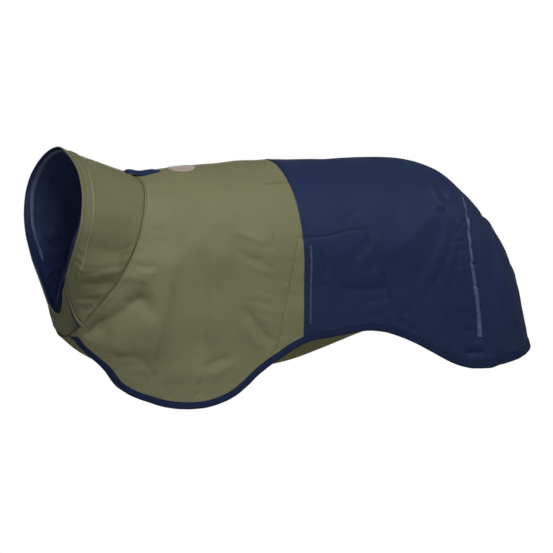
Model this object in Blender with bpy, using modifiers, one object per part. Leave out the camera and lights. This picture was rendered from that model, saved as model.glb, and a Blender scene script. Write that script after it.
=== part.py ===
# Dog rain jacket, filled out as worn: a yoke and a rear panel sewn across the back, a stand-up
# collar that overlaps in front, a chest and belly piece between the legs, and a bound hem.
# Own frame: the origin is on the middle plane inside the top of the back, +X to the tail,
# +Y to the dog's right, +Z up. Tables are in millimetres and are scaled to metres at the end.
import bpy
import math
import numpy as np
from mathutils import Vector
from mathutils.geometry import delaunay_2d_cdt
from mathutils.kdtree import KDTree

MM = 0.001
ORIGIN = (0.0, 0.0, -3.9)   # inner face of the back, on the middle plane, in the tables below
CLOTH = 1.6          # wall of the outer cloth
LINING = 1.0         # wall of the collar lining
GAP = 0.3            # clear space between pieces that lie on one another
TAPE = 0.8           # thickness of the tapes and of the patch
TAPE_WIDTH = 4.3
BIND_WIDTH = 8.0     # visible width of the hem binding
BIND = 1.0           # thickness of the folded binding
SEAM_GAP = 0.3       # yoke to rear panel
LATTICE = 20.6       # spacing of the facets on the panels
COLLAR_LATTICE = 18.0
MID_SEAM = 192.7     # distance along the spine of the seam across the back
SEAM_POINTS = 15     # points of the neck seam on each side
OVERLAP = 0.12       # share of the half ring that the far collar end runs on under the near end
UNDERLAP_INSET = 4.3

# Sections of the body across the spine. half: half width at the widest, drop: depth of the
# widest below the spine, foot: depth of the lower end, foot_half: half width there,
# rounded: 1 closes like an ellipse, 0 hangs straight. lean: degrees from straight down.
#   x       z       lean    half    drop    foot   foot_half rounded
BODY = np.array([
 (-200.0,   -5.5,  -25.6,   75.0,  100.0,  208.0,   4.0, 1.00),
 (-177.0,   -3.4,  -27.5,   79.0,  102.0,  222.0,  16.0, 0.95),
 (-139.0,   -1.2,  -25.0,   86.0,  106.0,  262.0,  52.0, 0.70),
 ( -89.0,   -0.3,  -14.5,   94.0,  108.0,  300.0,  84.0, 0.25),
 ( -42.0,    0.1,   -6.0,   99.0,  107.0,  300.0,  95.0, 0.05),
 (  -7.4,   -1.8,    0.0,  101.0,  106.0,  290.0,  96.0, 0.00),
 (  58.9,   -6.7,    0.5,  102.5,  106.0,  270.0,  97.0, 0.00),
 ( 127.9,  -10.1,   -1.0,  102.0,  108.0,  280.0,  97.0, 0.00),
 ( 182.6,  -16.8,   -3.0,  100.0,  112.0,  300.0,  97.0, 0.00),
 ( 222.1,  -33.0,   -6.0,   98.0,  116.0,  300.0,  96.0, 0.00),
 ( 252.6,  -59.4,  -11.5,   96.0,  118.0,  300.0,  95.0, 0.00),
 ( 289.9, -102.4,  -21.0,   95.0,  122.0,  280.0,  93.0, 0.00),
 ( 316.4, -143.3,  -30.5,   95.0,  126.0,  260.0,  93.0, 0.00),
 ( 332.6, -185.8,  -40.5,   95.0,  128.0,  240.0,  93.0, 0.00),
 ( 344.3, -231.7,  -53.0,   95.0,  128.0,  230.0,  93.0, 0.00),
 ( 355.0, -270.5,  -65.5,   95.0,  125.0,  220.0,  93.0, 0.00),
])
# Chest and belly piece: same columns, the sections open upward from its middle line.
BELLY = np.array([
 (-287.4, -195.4,  154.0,   76.0,  108.0,  200.0,  76.0, 0.00),
 (-264.0, -217.5,  155.0,   84.0,  100.0,  190.0,  84.0, 0.00),
 (-240.0, -232.5,  160.0,   90.0,   90.0,  180.0,  90.0, 0.00),
 (-195.0, -249.0,  169.0,   93.0,   80.0,  170.0,  93.0, 0.00),
 (-140.0, -257.5,  176.0,   94.0,   75.0,  165.0,  94.0, 0.00),
 ( -85.0, -259.5,  180.0,   95.5,   75.0,  165.0,  95.5, 0.00),
 ( -35.0, -258.0,  180.0,   96.0,   75.0,  172.0,  95.0, 0.00),
 (   4.0, -253.5,  180.0,   97.4,   75.0,  170.0,  95.2, 0.00),
 (  45.0, -243.5,  180.0,   98.1,   74.0,  160.0,  95.9, 0.00),
 (  90.0, -231.0,  180.0,   98.0,   72.0,  148.0,  95.6, 0.00),
 ( 135.0, -220.0,  180.0,   97.5,   70.0,  137.0,  95.2, 0.00),
])
# Edge of the neck opening: x, z, half width
RIM = np.array([
 (-281.0,  37.0,  0.0),
 (-279.4,  30.0, 31.5),
 (-280.8,  15.0, 64.5),
 (-284.3,   0.0, 83.0),
 (-288.6, -17.0, 94.5),
 (-292.8, -35.0, 98.3),
 (-297.1, -56.0, 94.3),
 (-300.2, -79.0, 83.5),
 (-300.8,-101.0, 68.0),
 (-300.3,-117.0, 53.5),
 (-299.2,-130.0, 38.5),
 (-297.0,-143.0, 22.0),
 (-295.0,-151.0,  9.0),
 (-294.5,-154.0,  0.0),
])
# Neck seam on the body: share of the half ring from the spine, distance along the spine
NECK_SEAM = np.array([(0, 8), (0.05, 12.3), (0.1, 15.6), (0.2, 17), (0.33, 19.6), (0.42, 21),
                      (0.5, 19.8), (0.6, 15.5), (0.7, 8.0), (0.8, 3.5), (0.9, 4.0), (1.0, 5.0)], float)
# Front edge of the near collar end: share of the height, share of the half ring
COLLAR_END = np.array([(0, .817), (.24, .826), (.52, .819), (.80, .785), (.93, .752), (1.0, .715)])
NECK_CORNER = 0.912   # share of the half ring where the hem starts at the throat
# Hem of one half in the flat pattern plane (ring depths laid straight): p, q
HEM = np.array([
 (-303.0, -244.0), (-297.5, -250.0), (-286.0, -259.5), (-273.0, -271.0), (-264.0, -284.0),
 (-257.0, -293.5), (-245.5, -302.0), (-223.0, -312.5), (-196.0, -323.0), (-172.0, -328.0),
 (-152.0, -329.5), (-128.0, -327.0), (-105.0, -319.5), ( -89.0, -309.5), ( -72.0, -296.5),
 ( -57.0, -288.0), ( -42.0, -281.5), ( -29.0, -275.0), ( -13.0, -268.5), (   3.0, -264.5),
 (  24.0, -263.0), (  43.0, -262.0), (  61.0, -260.5), (  81.0, -260.5), ( 102.0, -264.5),
 ( 123.0, -272.5), ( 142.0, -281.5), ( 168.0, -296.0), ( 187.0, -307.0), ( 196.3, -311.8),
 ( 202.0, -314.0), ( 207.4, -315.2), ( 213.7, -314.4), ( 221.9, -311.2), ( 234.4, -305.9),
 ( 249.4, -300.7), ( 265.5, -296.3), ( 281.4, -292.4), ( 296.0, -289.0), ( 310.0, -285.4),
 ( 322.7, -281.8), ( 335.3, -278.0),
])
# Rear reflective tape in the pattern plane
REAR_TAPE = np.array([(230, -96), (227, -112), (223, -130), (220, -151), (218.5, -168),
                      (218, -187), (219.5, -208), (221.5, -229), (222.5, -249), (222, -277)], float)
SIDE_TAPE = np.array([(2.0, -145.0), (1.6, -178.0), (1.2, -211.0), (0.8, -243.0)])
# Patch on the spine: distance along it, radius
PATCH_AT, PATCH_RADIUS = 73.0, 17.0
# Half outline of the flap over the lead opening: distance along the spine, arc from the spine
FLAP = np.array([(11.5, 9.8), (25.0, 9.3), (34.0, 7.8), (41.5, 5.2), (47.0, 0.0)])
COLLAR_TAPE_IN = 17.0       # outer tape below the rim
COLLAR_TAPE_END = 0.66
# Inner tape of the collar: share of the half ring, distance below the rim
LINING_TAPE = np.array([(0, 5.0), (.2, 5.5), (.36, 7.4), (.43, 7.8), (.51, 10.3), (.59, 12.6), (.66, 18.0), (.70, 22.0)])
# Half outline of the chest and belly piece: distance from the front along its middle line, arc from it
BELLY_EDGE = np.array([(0.0, 21.0), (26.0, 27.0), (55.0, 33.0), (110.0, 37.0), (160.0, 43.0),
                       (200.0, 52.0), (232.0, 66.0), (250.0, 84.0), (259.0, 104.0), (266.0, 134.0),
                       (273.0, 168.0), (283.0, 215.0), (289.0, 222.0), (330.0, 216.0), (374.0, 208.0),
                       (384.0, 201.0), (402.0, 162.0), (418.0, 124.0), (430.0, 92.0), (437.0, 52.0), (441.0, 0.0)])
# Largest folds in the pattern plane: p0, q0, p1, q1, width, depth (down is positive), sides (0 both, -1 left, 1 right)
FOLDS = np.array([
 (-219, -172, -284, -220,  9, 3.6, -1),
 (-209, -190, -272, -240, 12,-2.0, -1),
 (-100, -205,  -58, -262,  9, 2.8, -1),
 (-173, -120, -176, -300, 26, 2.0,  0),
 (-128, -115, -135, -300, 22,-1.8,  0),
 ( 177, -122,   99, -194, 16, 3.4, -1),
 ( 178, -158,  116, -233, 12, 2.4, -1),
 ( 188, -138,  120, -205, 15, 3.0,  1),
 (  35, -196,  100, -209, 10, 2.2, -1),
 ( -94, -214,  -60, -258, 10, 2.4,  1),
 (-226, -180, -276, -216, 10, 3.0,  1),
 ( 202, -297,  223, -291,  7, 3.0, -1),
], float)
# The right front lobe rides up a little: shift back and up
RIDE = (8.0, 0.0, 12.0)

OLIVE = (0.196, 0.196, 0.112)
NAVY = (0.022, 0.036, 0.092)
LINER = (0.010, 0.016, 0.045)
BINDING = (0.010, 0.016, 0.038)
TAPE_GREY = (0.050, 0.075, 0.150)
PATCH = (0.45, 0.36, 0.32)


def curve(xk, yk, x):
    """smooth interpolation through a table with uneven steps"""
    xk = np.asarray(xk, float)
    yk = np.asarray(yk, float)
    x = np.asarray(x, float)
    one = yk.ndim == 1
    if one:
        yk = yk[:, None]
    h = np.diff(xk)
    d = np.diff(yk, axis=0) / h[:, None]
    m = np.empty_like(yk)
    m[0], m[-1] = d[0], d[-1]
    m[1:-1] = (d[:-1] * h[1:, None] + d[1:] * h[:-1, None]) / (h[:-1] + h[1:])[:, None]
    i = np.clip(np.searchsorted(xk, x, side='right') - 1, 0, len(h) - 1)
    t = ((x - xk[i]) / h[i])[..., None]
    hh = h[i][..., None]
    r = (yk[i] * (1 + 2 * t) * (1 - t) ** 2 + m[i] * hh * t * (1 - t) ** 2
         + yk[i + 1] * t * t * (3 - 2 * t) + m[i + 1] * hh * t * t * (t - 1))
    return r[..., 0] if one else r


def smooth(x):
    x = np.clip(x, 0.0, 1.0)
    return x * x * (3 - 2 * x)


class Hull:
    """surface of rings along a line on the middle plane; a: distance along it, v: arc from it"""
    STATIONS, STEP, REACH = 321, 2.0, 440.0

    def __init__(self, table):
        k = np.concatenate([[0], np.cumsum(np.hypot(np.diff(table[:, 0]), np.diff(table[:, 1])))])
        rows = curve(k, table, np.linspace(0, k[-1], self.STATIONS))
        self.along = np.concatenate([[0], np.cumsum(np.hypot(np.diff(rows[:, 0]), np.diff(rows[:, 1])))])
        self.x, self.z, self.lean = rows[:, 0], rows[:, 1], np.radians(rows[:, 2])
        vg = np.arange(int(self.REACH / self.STEP) + 1) * self.STEP
        self.depth = np.empty((self.STATIONS, len(vg)))
        self.width = np.empty((self.STATIONS, len(vg)))
        self.end = np.empty(self.STATIONS)
        f = np.linspace(0, math.pi / 2, 120)
        tau = np.linspace(0, 1, 160)[1:]
        for i, (half, drop, foot, fh, rd) in enumerate(rows[:, 3:8]):
            rd = min(max(rd, 0.0), 1.0)
            p = tau * math.pi / 2
            y = np.concatenate([half * np.sin(f),
                                rd * (fh + (half - fh) * np.cos(p)) + (1 - rd) * (half - (half - fh) * tau ** 2)])
            h = np.concatenate([drop * (1 - np.cos(f)),
                                drop + (foot - drop) * (rd * np.sin(p) + (1 - rd) * tau)])
            arc = np.concatenate([[0], np.cumsum(np.hypot(np.diff(y), np.diff(h)))])
            self.end[i] = arc[-1]
            more = (self.REACH + 5 - arc[-1]) / (arc[-1] - arc[-2])
            y = np.append(y, y[-1] + (y[-1] - y[-2]) * more)
            h = np.append(h, h[-1] + (h[-1] - h[-2]) * more)
            arc = np.append(arc, self.REACH + 5)
            self.width[i] = np.interp(vg, arc, y)
            self.depth[i] = np.interp(vg, arc, h)
        self.total = self.along[-1]

    def line(self, a):
        return np.stack([np.interp(a, self.along, self.x), np.interp(a, self.along, self.z)], -1)

    def down(self, a):
        lean = np.interp(a, self.along, self.lean)
        return np.stack([np.sin(lean), -np.cos(lean)], -1)

    def point(self, a, v, side=-1):
        a = np.asarray(a, float)
        v = np.abs(np.asarray(v, float))
        fi = np.clip(np.interp(a, self.along, np.arange(self.STATIONS)), 0, self.STATIONS - 1.000001)
        i = fi.astype(int)
        t = fi - i
        fv = np.clip(v / self.STEP, 0, self.depth.shape[1] - 1.000001)
        j = fv.astype(int)
        w = fv - j

        def grid(g):
            return (g[i, j] * (1 - t) + g[i + 1, j] * t) * (1 - w) + (g[i, j + 1] * (1 - t) + g[i + 1, j + 1] * t) * w
        h = grid(self.depth)
        at = self.line(a) + h[..., None] * self.down(a)
        return np.stack([at[..., 0], side * grid(self.width), at[..., 1]], -1)

    def flat(self, a, v):
        return self.line(a) + np.asarray(v, float)[..., None] * self.down(a)

    def unflat(self, p):
        p = np.asarray(p, float)
        lo = np.zeros(p.shape[:-1])
        hi = np.full(p.shape[:-1], self.total)

        def side(a):
            q = p - self.line(a)
            d = self.down(a)
            return q[..., 0] * d[..., 1] - q[..., 1] * d[..., 0]
        sign = np.sign(side(hi) - side(lo))
        for _ in range(42):
            m = (lo + hi) / 2
            low = side(m) * sign < 0
            lo = np.where(low, m, lo)
            hi = np.where(low, hi, m)
        a = (lo + hi) / 2
        return a, np.maximum(((p - self.line(a)) * self.down(a)).sum(-1), 0.0)


def resample(p, step, closed=False):
    p = np.asarray(p, float)
    if closed:
        p = np.vstack([p, p[:1]])
    k = np.concatenate([[0], np.cumsum(np.hypot(*np.diff(p, axis=0).T))])
    n = max(1, int(round(k[-1] / step)))
    u = np.linspace(0, k[-1], n + 1)
    r = np.stack([np.interp(u, k, p[:, 0]), np.interp(u, k, p[:, 1])], -1)
    return r[:-1] if closed else r


def inside(poly, pts):
    poly = np.asarray(poly, float)
    x, y = pts[:, 0], pts[:, 1]
    r = np.zeros(len(pts), bool)
    a = poly
    b = np.roll(poly, -1, axis=0)
    for (x0, y0), (x1, y1) in zip(a, b):
        if y0 == y1:
            continue
        r ^= ((y0 > y) != (y1 > y)) & (x < (x1 - x0) * (y - y0) / (y1 - y0) + x0)
    return r


def mesh_plane(outline, lines, h):
    """triangles inside an outline, cut along the given lines, with an even lattice between"""
    verts = [tuple(p) for p in outline]
    edges = [(i, (i + 1) % len(outline)) for i in range(len(outline))]
    for pts, closed in lines:
        k = len(verts)
        verts += [tuple(p) for p in pts]
        edges += [(k + i, k + i + 1) for i in range(len(pts) - 1)]
        if closed:
            edges.append((k + len(pts) - 1, k))
    dense = []
    for i, j in edges:
        a, b = np.array(verts[i]), np.array(verts[j])
        n = max(1, int(np.hypot(*(b - a)) / (h * 0.3)))
        dense += [a + (b - a) * k / n for k in range(n)]
    tree = KDTree(len(dense))
    for i, p in enumerate(dense):
        tree.insert((p[0], p[1], 0.0), i)
    tree.balance()
    lo, hi = outline.min(0), outline.max(0)
    rows = []
    for r, y in enumerate(np.arange(lo[1] + h * 0.31, hi[1], h * 0.866)):
        x = np.arange(lo[0] + (h / 2 if r % 2 else 0.0), hi[0], h)
        rows.append(np.stack([x, np.full(len(x), y)], -1))
    grid = np.vstack(rows)
    grid = grid[inside(outline, grid)]
    grid = [p for p in grid if tree.find((p[0], p[1], 0.0))[2] > 0.62 * h]
    verts += [tuple(p) for p in grid]
    v, e, f, _, _, _ = delaunay_2d_cdt([Vector(p) for p in verts], edges, [], 1, 1e-4)
    v = np.array([tuple(p) for p in v])
    f = np.array([t for t in f if len(t) == 3], int)
    a, b, c = v[f[:, 0]], v[f[:, 1]], v[f[:, 2]]
    area = (b[:, 0] - a[:, 0]) * (c[:, 1] - a[:, 1]) - (b[:, 1] - a[:, 1]) * (c[:, 0] - a[:, 0])
    f[area < 0] = f[area < 0][:, ::-1]
    f = f[np.abs(area) > 1e-5]
    keep = inside(outline, v[f].mean(1))
    return v, f[keep]


def normals(v, f):
    n = np.cross(v[f[:, 1]] - v[f[:, 0]], v[f[:, 2]] - v[f[:, 0]])
    r = np.zeros_like(v)
    for k in range(3):
        np.add.at(r, f[:, k], n)
    return r / np.maximum(np.linalg.norm(r, axis=1), 1e-12)[:, None]


def folds(flat, side, table):
    d = np.zeros(len(flat))
    for p0, q0, p1, q1, width, depth, on in table:
        if on and on != side:
            continue
        a, b = np.array([p0, q0]), np.array([p1, q1])
        t = ((flat - a) @ (b - a)) / ((b - a) @ (b - a))
        c = np.clip(t, 0, 1)
        r = np.linalg.norm(flat - (a + c[:, None] * (b - a)), axis=1)
        d -= depth * np.exp(-(r / width) ** 2) * (0.55 + 0.45 * np.sin(np.pi * c))
    return d


def material(name, colour, roughness):
    m = bpy.data.materials.new(name)
    m.use_nodes = True
    b = m.node_tree.nodes["Principled BSDF"]
    b.inputs["Base Color"].default_value = (*colour, 1.0)
    b.inputs["Roughness"].default_value = roughness
    b.inputs["Metallic"].default_value = 0.0
    m.diffuse_color = (*colour, 1.0)
    return m


for old in list(bpy.data.objects):
    bpy.data.objects.remove(old, do_unlink=True)
parts = bpy.data.collections.new("dog_rain_jacket")
bpy.context.scene.collection.children.link(parts)


def piece(name, v, f, colour, roughness, thickness, offset):
    """an open sheet given its wall by Solidify"""
    f = np.asarray(f)
    used, inv = np.unique(f, return_inverse=True)
    mesh = bpy.data.meshes.new(name)
    mesh.from_pydata([tuple(p) for p in (v[used] - ORIGIN) * MM], [], [tuple(int(i) for i in t) for t in inv.reshape(f.shape)])
    mesh.materials.append(material(name, colour, roughness))
    ob = bpy.data.objects.new(name, mesh)
    parts.objects.link(ob)
    s = ob.modifiers.new("wall", 'SOLIDIFY')
    s.thickness = thickness * MM
    s.offset = offset
    s.use_even_offset = False
    return ob


# ---------------------------------------------------------------- body panels
body = Hull(BODY)


def neck_seam(c):
    a = curve(NECK_SEAM[:, 0], NECK_SEAM[:, 1], c)
    return a, c * (np.interp(a, body.along, body.end) - 1.0)


c_neck = np.linspace(0, NECK_CORNER, SEAM_POINTS + 1)
neck_flat = body.flat(*neck_seam(c_neck))
hem_ends = np.vstack([neck_flat[-1:], HEM, body.flat(np.array([body.total]), np.array([0.0]))])
k = np.concatenate([[0], np.cumsum(np.hypot(*np.diff(hem_ends, axis=0).T))])
hem_flat = curve(k, hem_ends, np.linspace(0, k[-1], int(round(k[-1] / (LATTICE * 0.95))) + 1))
# the spine line has a point where a seam, the patch or the flap meets it
marks = np.array([FLAP[-1, 0], PATCH_AT - PATCH_RADIUS, PATCH_AT + PATCH_RADIUS, MID_SEAM, body.total - BIND_WIDTH])
spine_a = np.linspace(float(neck_seam(0.0)[0]), body.total, int(round(body.total / LATTICE)) + 1)
clear = np.abs(spine_a[:, None] - marks).min(1) > 6.0
clear[[0, -1]] = True
spine_a = np.sort(np.concatenate([spine_a[clear], marks]))
spine_flat = body.flat(spine_a, spine_a * 0)
outline = np.vstack([neck_flat[::-1][:-1], spine_flat[:-1], hem_flat[::-1][:-1]])

d = np.gradient(hem_flat, axis=0)
d /= np.hypot(*d.T)[:, None]
inset = hem_flat + BIND_WIDTH * np.stack([-d[:, 1], d[:, 0]], -1)
inset[-1] = body.flat(np.array([body.total - BIND_WIDTH]), np.array([0.0]))[0]
inset[0] = neck_flat[-1] + (neck_flat[-2] - neck_flat[-1]) * BIND_WIDTH / np.hypot(*(neck_flat[-2] - neck_flat[-1]))
band = np.vstack([hem_flat, inset[::-1]])


def strip(line, width):
    g = np.gradient(line, axis=0)
    g /= np.hypot(*g.T)[:, None]
    n = np.stack([-g[:, 1], g[:, 0]], -1) * width / 2
    return np.vstack([line + n, (line - n)[::-1]])


rear_tape = strip(resample(REAR_TAPE, LATTICE), TAPE_WIDTH)
side_tape = strip(resample(SIDE_TAPE, LATTICE), TAPE_WIDTH)
ang = np.linspace(0, math.pi, 9)
patch = body.flat(PATCH_AT + PATCH_RADIUS * np.cos(ang), PATCH_RADIUS * np.sin(ang))
flap_line = body.flat(FLAP[:, 0], FLAP[:, 1])
flap_start = body.flat(*neck_seam(np.array([0.0, 0.034])))
flap = np.vstack([flap_start, flap_line])
mid_v = np.arange(0, 262, LATTICE)
mid_line = body.flat(np.full(len(mid_v) + 1, MID_SEAM), np.append(mid_v, 268.0))

flat, tri = mesh_plane(outline, [(inset, False), (mid_line, False), (rear_tape, True), (side_tape, True),
                                 (patch, False), (np.vstack([flap_start[1:], flap_line]), False)], LATTICE)
a, v = body.unflat(flat)
on_spine = v < 0.02
tri = tri[~on_spine[tri].all(1)]


def place(a, v, flat, side):
    p = body.point(a, v, side)
    p[v < 0.02, 1] = 0.0
    if side > 0:
        w = smooth((a - 8) / 50) * smooth((150 - a) / 55) * smooth((v - 170) / 110)
        p = p + w[:, None] * np.array(RIDE)
    return p


near = place(a, v, flat, -1)
far = place(a, v, flat, 1)
index = np.arange(len(flat)) + len(flat)
index[on_spine] = np.flatnonzero(on_spine)
points = np.vstack([near, far])
faces = np.vstack([tri, index[tri[:, ::-1]]])
unit = normals(points, faces)
lift = np.concatenate([folds(flat, -1, FOLDS), folds(flat, 1, FOLDS)])
points = points + unit * lift[:, None]
unit = normals(points, faces)
both_flat = np.vstack([flat, flat])
both_a = np.concatenate([a, a])
right = np.concatenate([np.zeros(len(tri), bool), np.ones(len(tri), bool)])
mid = both_flat[faces].mean(1)
mid_a, _ = body.unflat(mid)


def panel(mask, seam_shift):
    p = points.copy()
    on = np.abs(both_a - MID_SEAM) < 0.05
    used = np.zeros(len(p), bool)
    used[faces[mask].ravel()] = True
    on &= used
    step = body.point(both_a + 0.5, np.concatenate([v, v]), 1) - body.point(both_a - 0.5, np.concatenate([v, v]), 1)
    step[:len(flat), 1] *= -1
    p[on] += step[on] * seam_shift
    return p


front = mid_a < MID_SEAM
piece("yoke", panel(front, -SEAM_GAP / 2), faces[front], OLIVE, 0.62, CLOTH, -1)
piece("rear_panel", panel(~front, SEAM_GAP / 2), faces[~front], NAVY, 0.6, CLOTH, -1)


def on_top(name, mask, colour, thickness, base=GAP):
    piece(name, points + unit * base, faces[mask], colour, 0.5, thickness, 1)


on_top("rear_tape_left", inside(rear_tape, mid) & ~right, TAPE_GREY, TAPE)
on_top("rear_tape_right", inside(rear_tape, mid) & right, TAPE_GREY, TAPE)
on_top("side_tape_left", inside(side_tape, mid) & ~right, TAPE_GREY, TAPE)
on_top("side_tape_right", inside(side_tape, mid) & right, TAPE_GREY, TAPE)
on_top("back_patch", inside(patch, mid), PATCH, TAPE)
flap_poly = np.vstack([flap, flap[:1]])
on_top("lead_flap", inside(flap_poly, mid), NAVY, 1.2)

# binding: a strip over the outside, a strip over the inside and the fold between them
strip_faces = faces[inside(band, mid)]
used = np.unique(strip_faces)
near_i = {int(i): k for k, i in enumerate(used)}
n = len(used)
outer = points[used] + unit[used] * (GAP + BIND / 2)
inner = points[used] - unit[used] * (CLOTH + GAP + BIND / 2)
edge_count = {}
for t in strip_faces:
    for i in range(3):
        e = (int(t[i]), int(t[(i + 1) % 3]))
        key = (min(e), max(e))
        edge_count.setdefault(key, []).append(e)
dense_hem = resample(hem_flat, 2.5)
tree = KDTree(len(dense_hem))
for i, p in enumerate(dense_hem):
    tree.insert((p[0], p[1], 0.0), i)
tree.balance()
hem_edges = [es[0] for es in edge_count.values() if len(es) == 1
             and all(tree.find((*both_flat[i], 0.0))[2] < 1.6 for i in es[0])
             and tree.find((*((both_flat[es[0][0]] + both_flat[es[0][1]]) / 2), 0.0))[2] < 1.6]
out = {}
for i, j in hem_edges:
    e = points[j] - points[i]
    for k_ in (i, j):
        w = np.cross(e, unit[k_])
        out[k_] = out.get(k_, 0) + w / np.linalg.norm(w)
hem_i = {i: k_ for k_, i in enumerate(out)}
reach = np.array([out[i] / np.linalg.norm(out[i]) for i in out])
ids = np.array(list(out))
low_outer = outer[[near_i[int(i)] for i in ids]] + reach * (GAP + BIND / 2)
low_inner = inner[[near_i[int(i)] for i in ids]] + reach * (GAP + BIND / 2)
bv = np.vstack([outer, inner, low_outer, low_inner])
m = len(ids)
bf = [[near_i[int(i)] for i in t] for t in strip_faces]
bf += [[near_i[int(i)] + n for i in t[::-1]] for t in strip_faces]
for i, j in hem_edges:
    oi, oj, li, lj = near_i[i], near_i[j], hem_i[i], hem_i[j]
    bf += [[oj, oi, 2 * n + li, 2 * n + lj],
           [2 * n + lj, 2 * n + li, 2 * n + m + li, 2 * n + m + lj],
           [2 * n + m + lj, 2 * n + m + li, n + oi, n + oj]]
mesh = bpy.data.meshes.new("hem_binding")
mesh.from_pydata([tuple(p) for p in (bv - ORIGIN) * MM], [], bf)
mesh.materials.append(material("hem_binding", BINDING, 0.7))
ob = bpy.data.objects.new("hem_binding", mesh)
parts.objects.link(ob)
s = ob.modifiers.new("wall", 'SOLIDIFY')
s.thickness = BIND * MM
s.offset = 0

# ---------------------------------------------------------------- collar
cg = np.linspace(0, 1, 201)
seam_line = body.point(*neck_seam(cg), 1)
seam_line[0, 1] = seam_line[-1, 1] = 0.0
k = np.concatenate([[0], np.cumsum(np.sqrt((np.diff(RIM, axis=0) ** 2).sum(1)))])
kk = np.concatenate([-k[3:0:-1], k, 2 * k[-1] - k[-2:-5:-1]])
table = np.vstack([RIM[3:0:-1] * (1, 1, -1), RIM, RIM[-2:-5:-1] * (1, 1, -1)])
rim = curve(kk, table, np.linspace(0, k[-1], 1500))
arc = np.concatenate([[0], np.cumsum(np.sqrt((np.diff(rim, axis=0) ** 2).sum(1)))])
rim_line = np.stack([np.interp(cg * arc[-1], arc, rim[:, i]) for i in (0, 2, 1)], -1)
rim_line[0, 1] = rim_line[-1, 1] = 0.0
height = np.linalg.norm(rim_line - seam_line, axis=1)
half_ring = np.linalg.norm(np.diff(seam_line, axis=0), axis=1).sum()


def tall(c):
    return np.interp(np.abs((np.asarray(c) + 1) % 2 - 1), cg, height)


def seam_clear(c):
    w = np.abs((np.asarray(c) + 1) % 2 - 1)
    return 0.9 + 1.3 * smooth((w - 0.72) / 0.2)


def collar_point(c, t):
    w = (c + 1) % 2 - 1
    q = np.abs(w)
    lo = np.stack([np.interp(q, cg, seam_line[:, i]) for i in range(3)], -1)
    hi = np.stack([np.interp(q, cg, rim_line[:, i]) for i in range(3)], -1)
    p = lo + (hi - lo) * t[:, None]
    p[:, 1] *= -np.sign(w + 1e-12)
    return p


def collar_end(t):
    return curve(COLLAR_END[:, 0], COLLAR_END[:, 1], t)


steps = np.linspace(0, 1, 6)
far_end = collar_end(steps) - OVERLAP - 2
near_end = collar_end(steps)
step = c_neck[1] - c_neck[0]
low_c = np.concatenate([[far_end[0]], [x for x in np.arange(-22, 20) * step if far_end[0] + 0.3 * step < x < near_end[0] - 0.3 * step], [near_end[0]]])
top_c = np.concatenate([[far_end[-1]], [x for x in np.arange(-22, 20) * step if far_end[-1] + 0.3 * step < x < near_end[-1] - 0.3 * step], [near_end[-1]]])


def collar_plane(c, t):
    return np.stack([np.asarray(c) * half_ring, t * tall(c)], -1)


low = np.stack([low_c * half_ring, seam_clear(low_c)], -1)
top = collar_plane(top_c, 1.0)
c_out = np.vstack([low, collar_plane(near_end, steps)[1:-1], top[::-1], collar_plane(far_end, steps)[::-1][1:-1]])
tc = np.linspace(-COLLAR_TAPE_END, COLLAR_TAPE_END, 25)
outer_tape = strip(np.stack([tc * half_ring, tall(tc) - COLLAR_TAPE_IN], -1), TAPE_WIDTH)
tc = np.linspace(-0.70, 0.57, 25)
inner_tape = strip(np.stack([tc * half_ring, tall(tc) - curve(LINING_TAPE[:, 0], LINING_TAPE[:, 1], np.abs(tc))], -1), TAPE_WIDTH)
cf, ct = mesh_plane(c_out, [(outer_tape, True), (inner_tape, True)], COLLAR_LATTICE)


cc = cf[:, 0] / half_ring
cp = collar_point(cc, cf[:, 1] / tall(cc))
ct = ct[:, ::-1]
cp = cp - normals(cp, ct) * (UNDERLAP_INSET * smooth((-0.93 - cc) / 0.22))[:, None]
cu = normals(cp, ct)
cmid = cf[ct].mean(1)
piece("collar", cp, ct, OLIVE, 0.62, CLOTH, -1)
piece("collar_tape_outer", cp + cu * GAP, ct[inside(outer_tape, cmid)], OLIVE, 0.5, TAPE, 1)
inner_face = CLOTH + GAP
piece("collar_lining", cp - cu * inner_face, ct, LINER, 0.6, LINING, -1)
piece("collar_tape_inner", cp - cu * (inner_face + LINING + 1.8 * GAP), ct[inside(inner_tape, cmid)], TAPE_GREY, 0.5, TAPE, -1)

# ---------------------------------------------------------------- chest and belly piece
cradle = Hull(BELLY)
edge = cradle.flat(BELLY_EDGE[:, 0], BELLY_EDGE[:, 1])
edge = resample(edge, LATTICE)
front_v = np.array([0.0, 10.5])
front_edge = cradle.flat(front_v * 0, front_v)
line_a = np.linspace(0, BELLY_EDGE[-1, 0], int(round(BELLY_EDGE[-1, 0] / LATTICE)) + 1)
middle = cradle.flat(line_a, line_a * 0)
b_out = np.vstack([middle[:-1], edge[::-1], front_edge[::-1][:-1]])
bfl, bt = mesh_plane(b_out, [], LATTICE)
ba, bb = cradle.unflat(bfl)
at_mid = bb < 0.02
bt = bt[~at_mid[bt].all(1)]
left =cradle.point(ba, bb, -1)
rightp = cradle.point(ba, bb, 1)
left[at_mid, 1] = 0.0
idx = np.arange(len(bfl)) + len(bfl)
idx[at_mid] = np.flatnonzero(at_mid)
piece("belly_panel", np.vstack([left, rightp]), np.vstack([bt, idx[bt[:, ::-1]]]), OLIVE, 0.65, CLOTH, -1)
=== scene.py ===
# Dog rain jacket, filled out as worn, in finished cloth: thin shells on the form of the frame's
# solids, with seams, puckers and creases, a rounded hem binding, tapes, flap, patch and stitches.
# Tables are in millimetres in the tables' own zero and are moved and scaled once, in world().
import math
import bpy
import numpy as np
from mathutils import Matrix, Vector
from mathutils.geometry import delaunay_2d_cdt
from mathutils.kdtree import KDTree

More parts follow.
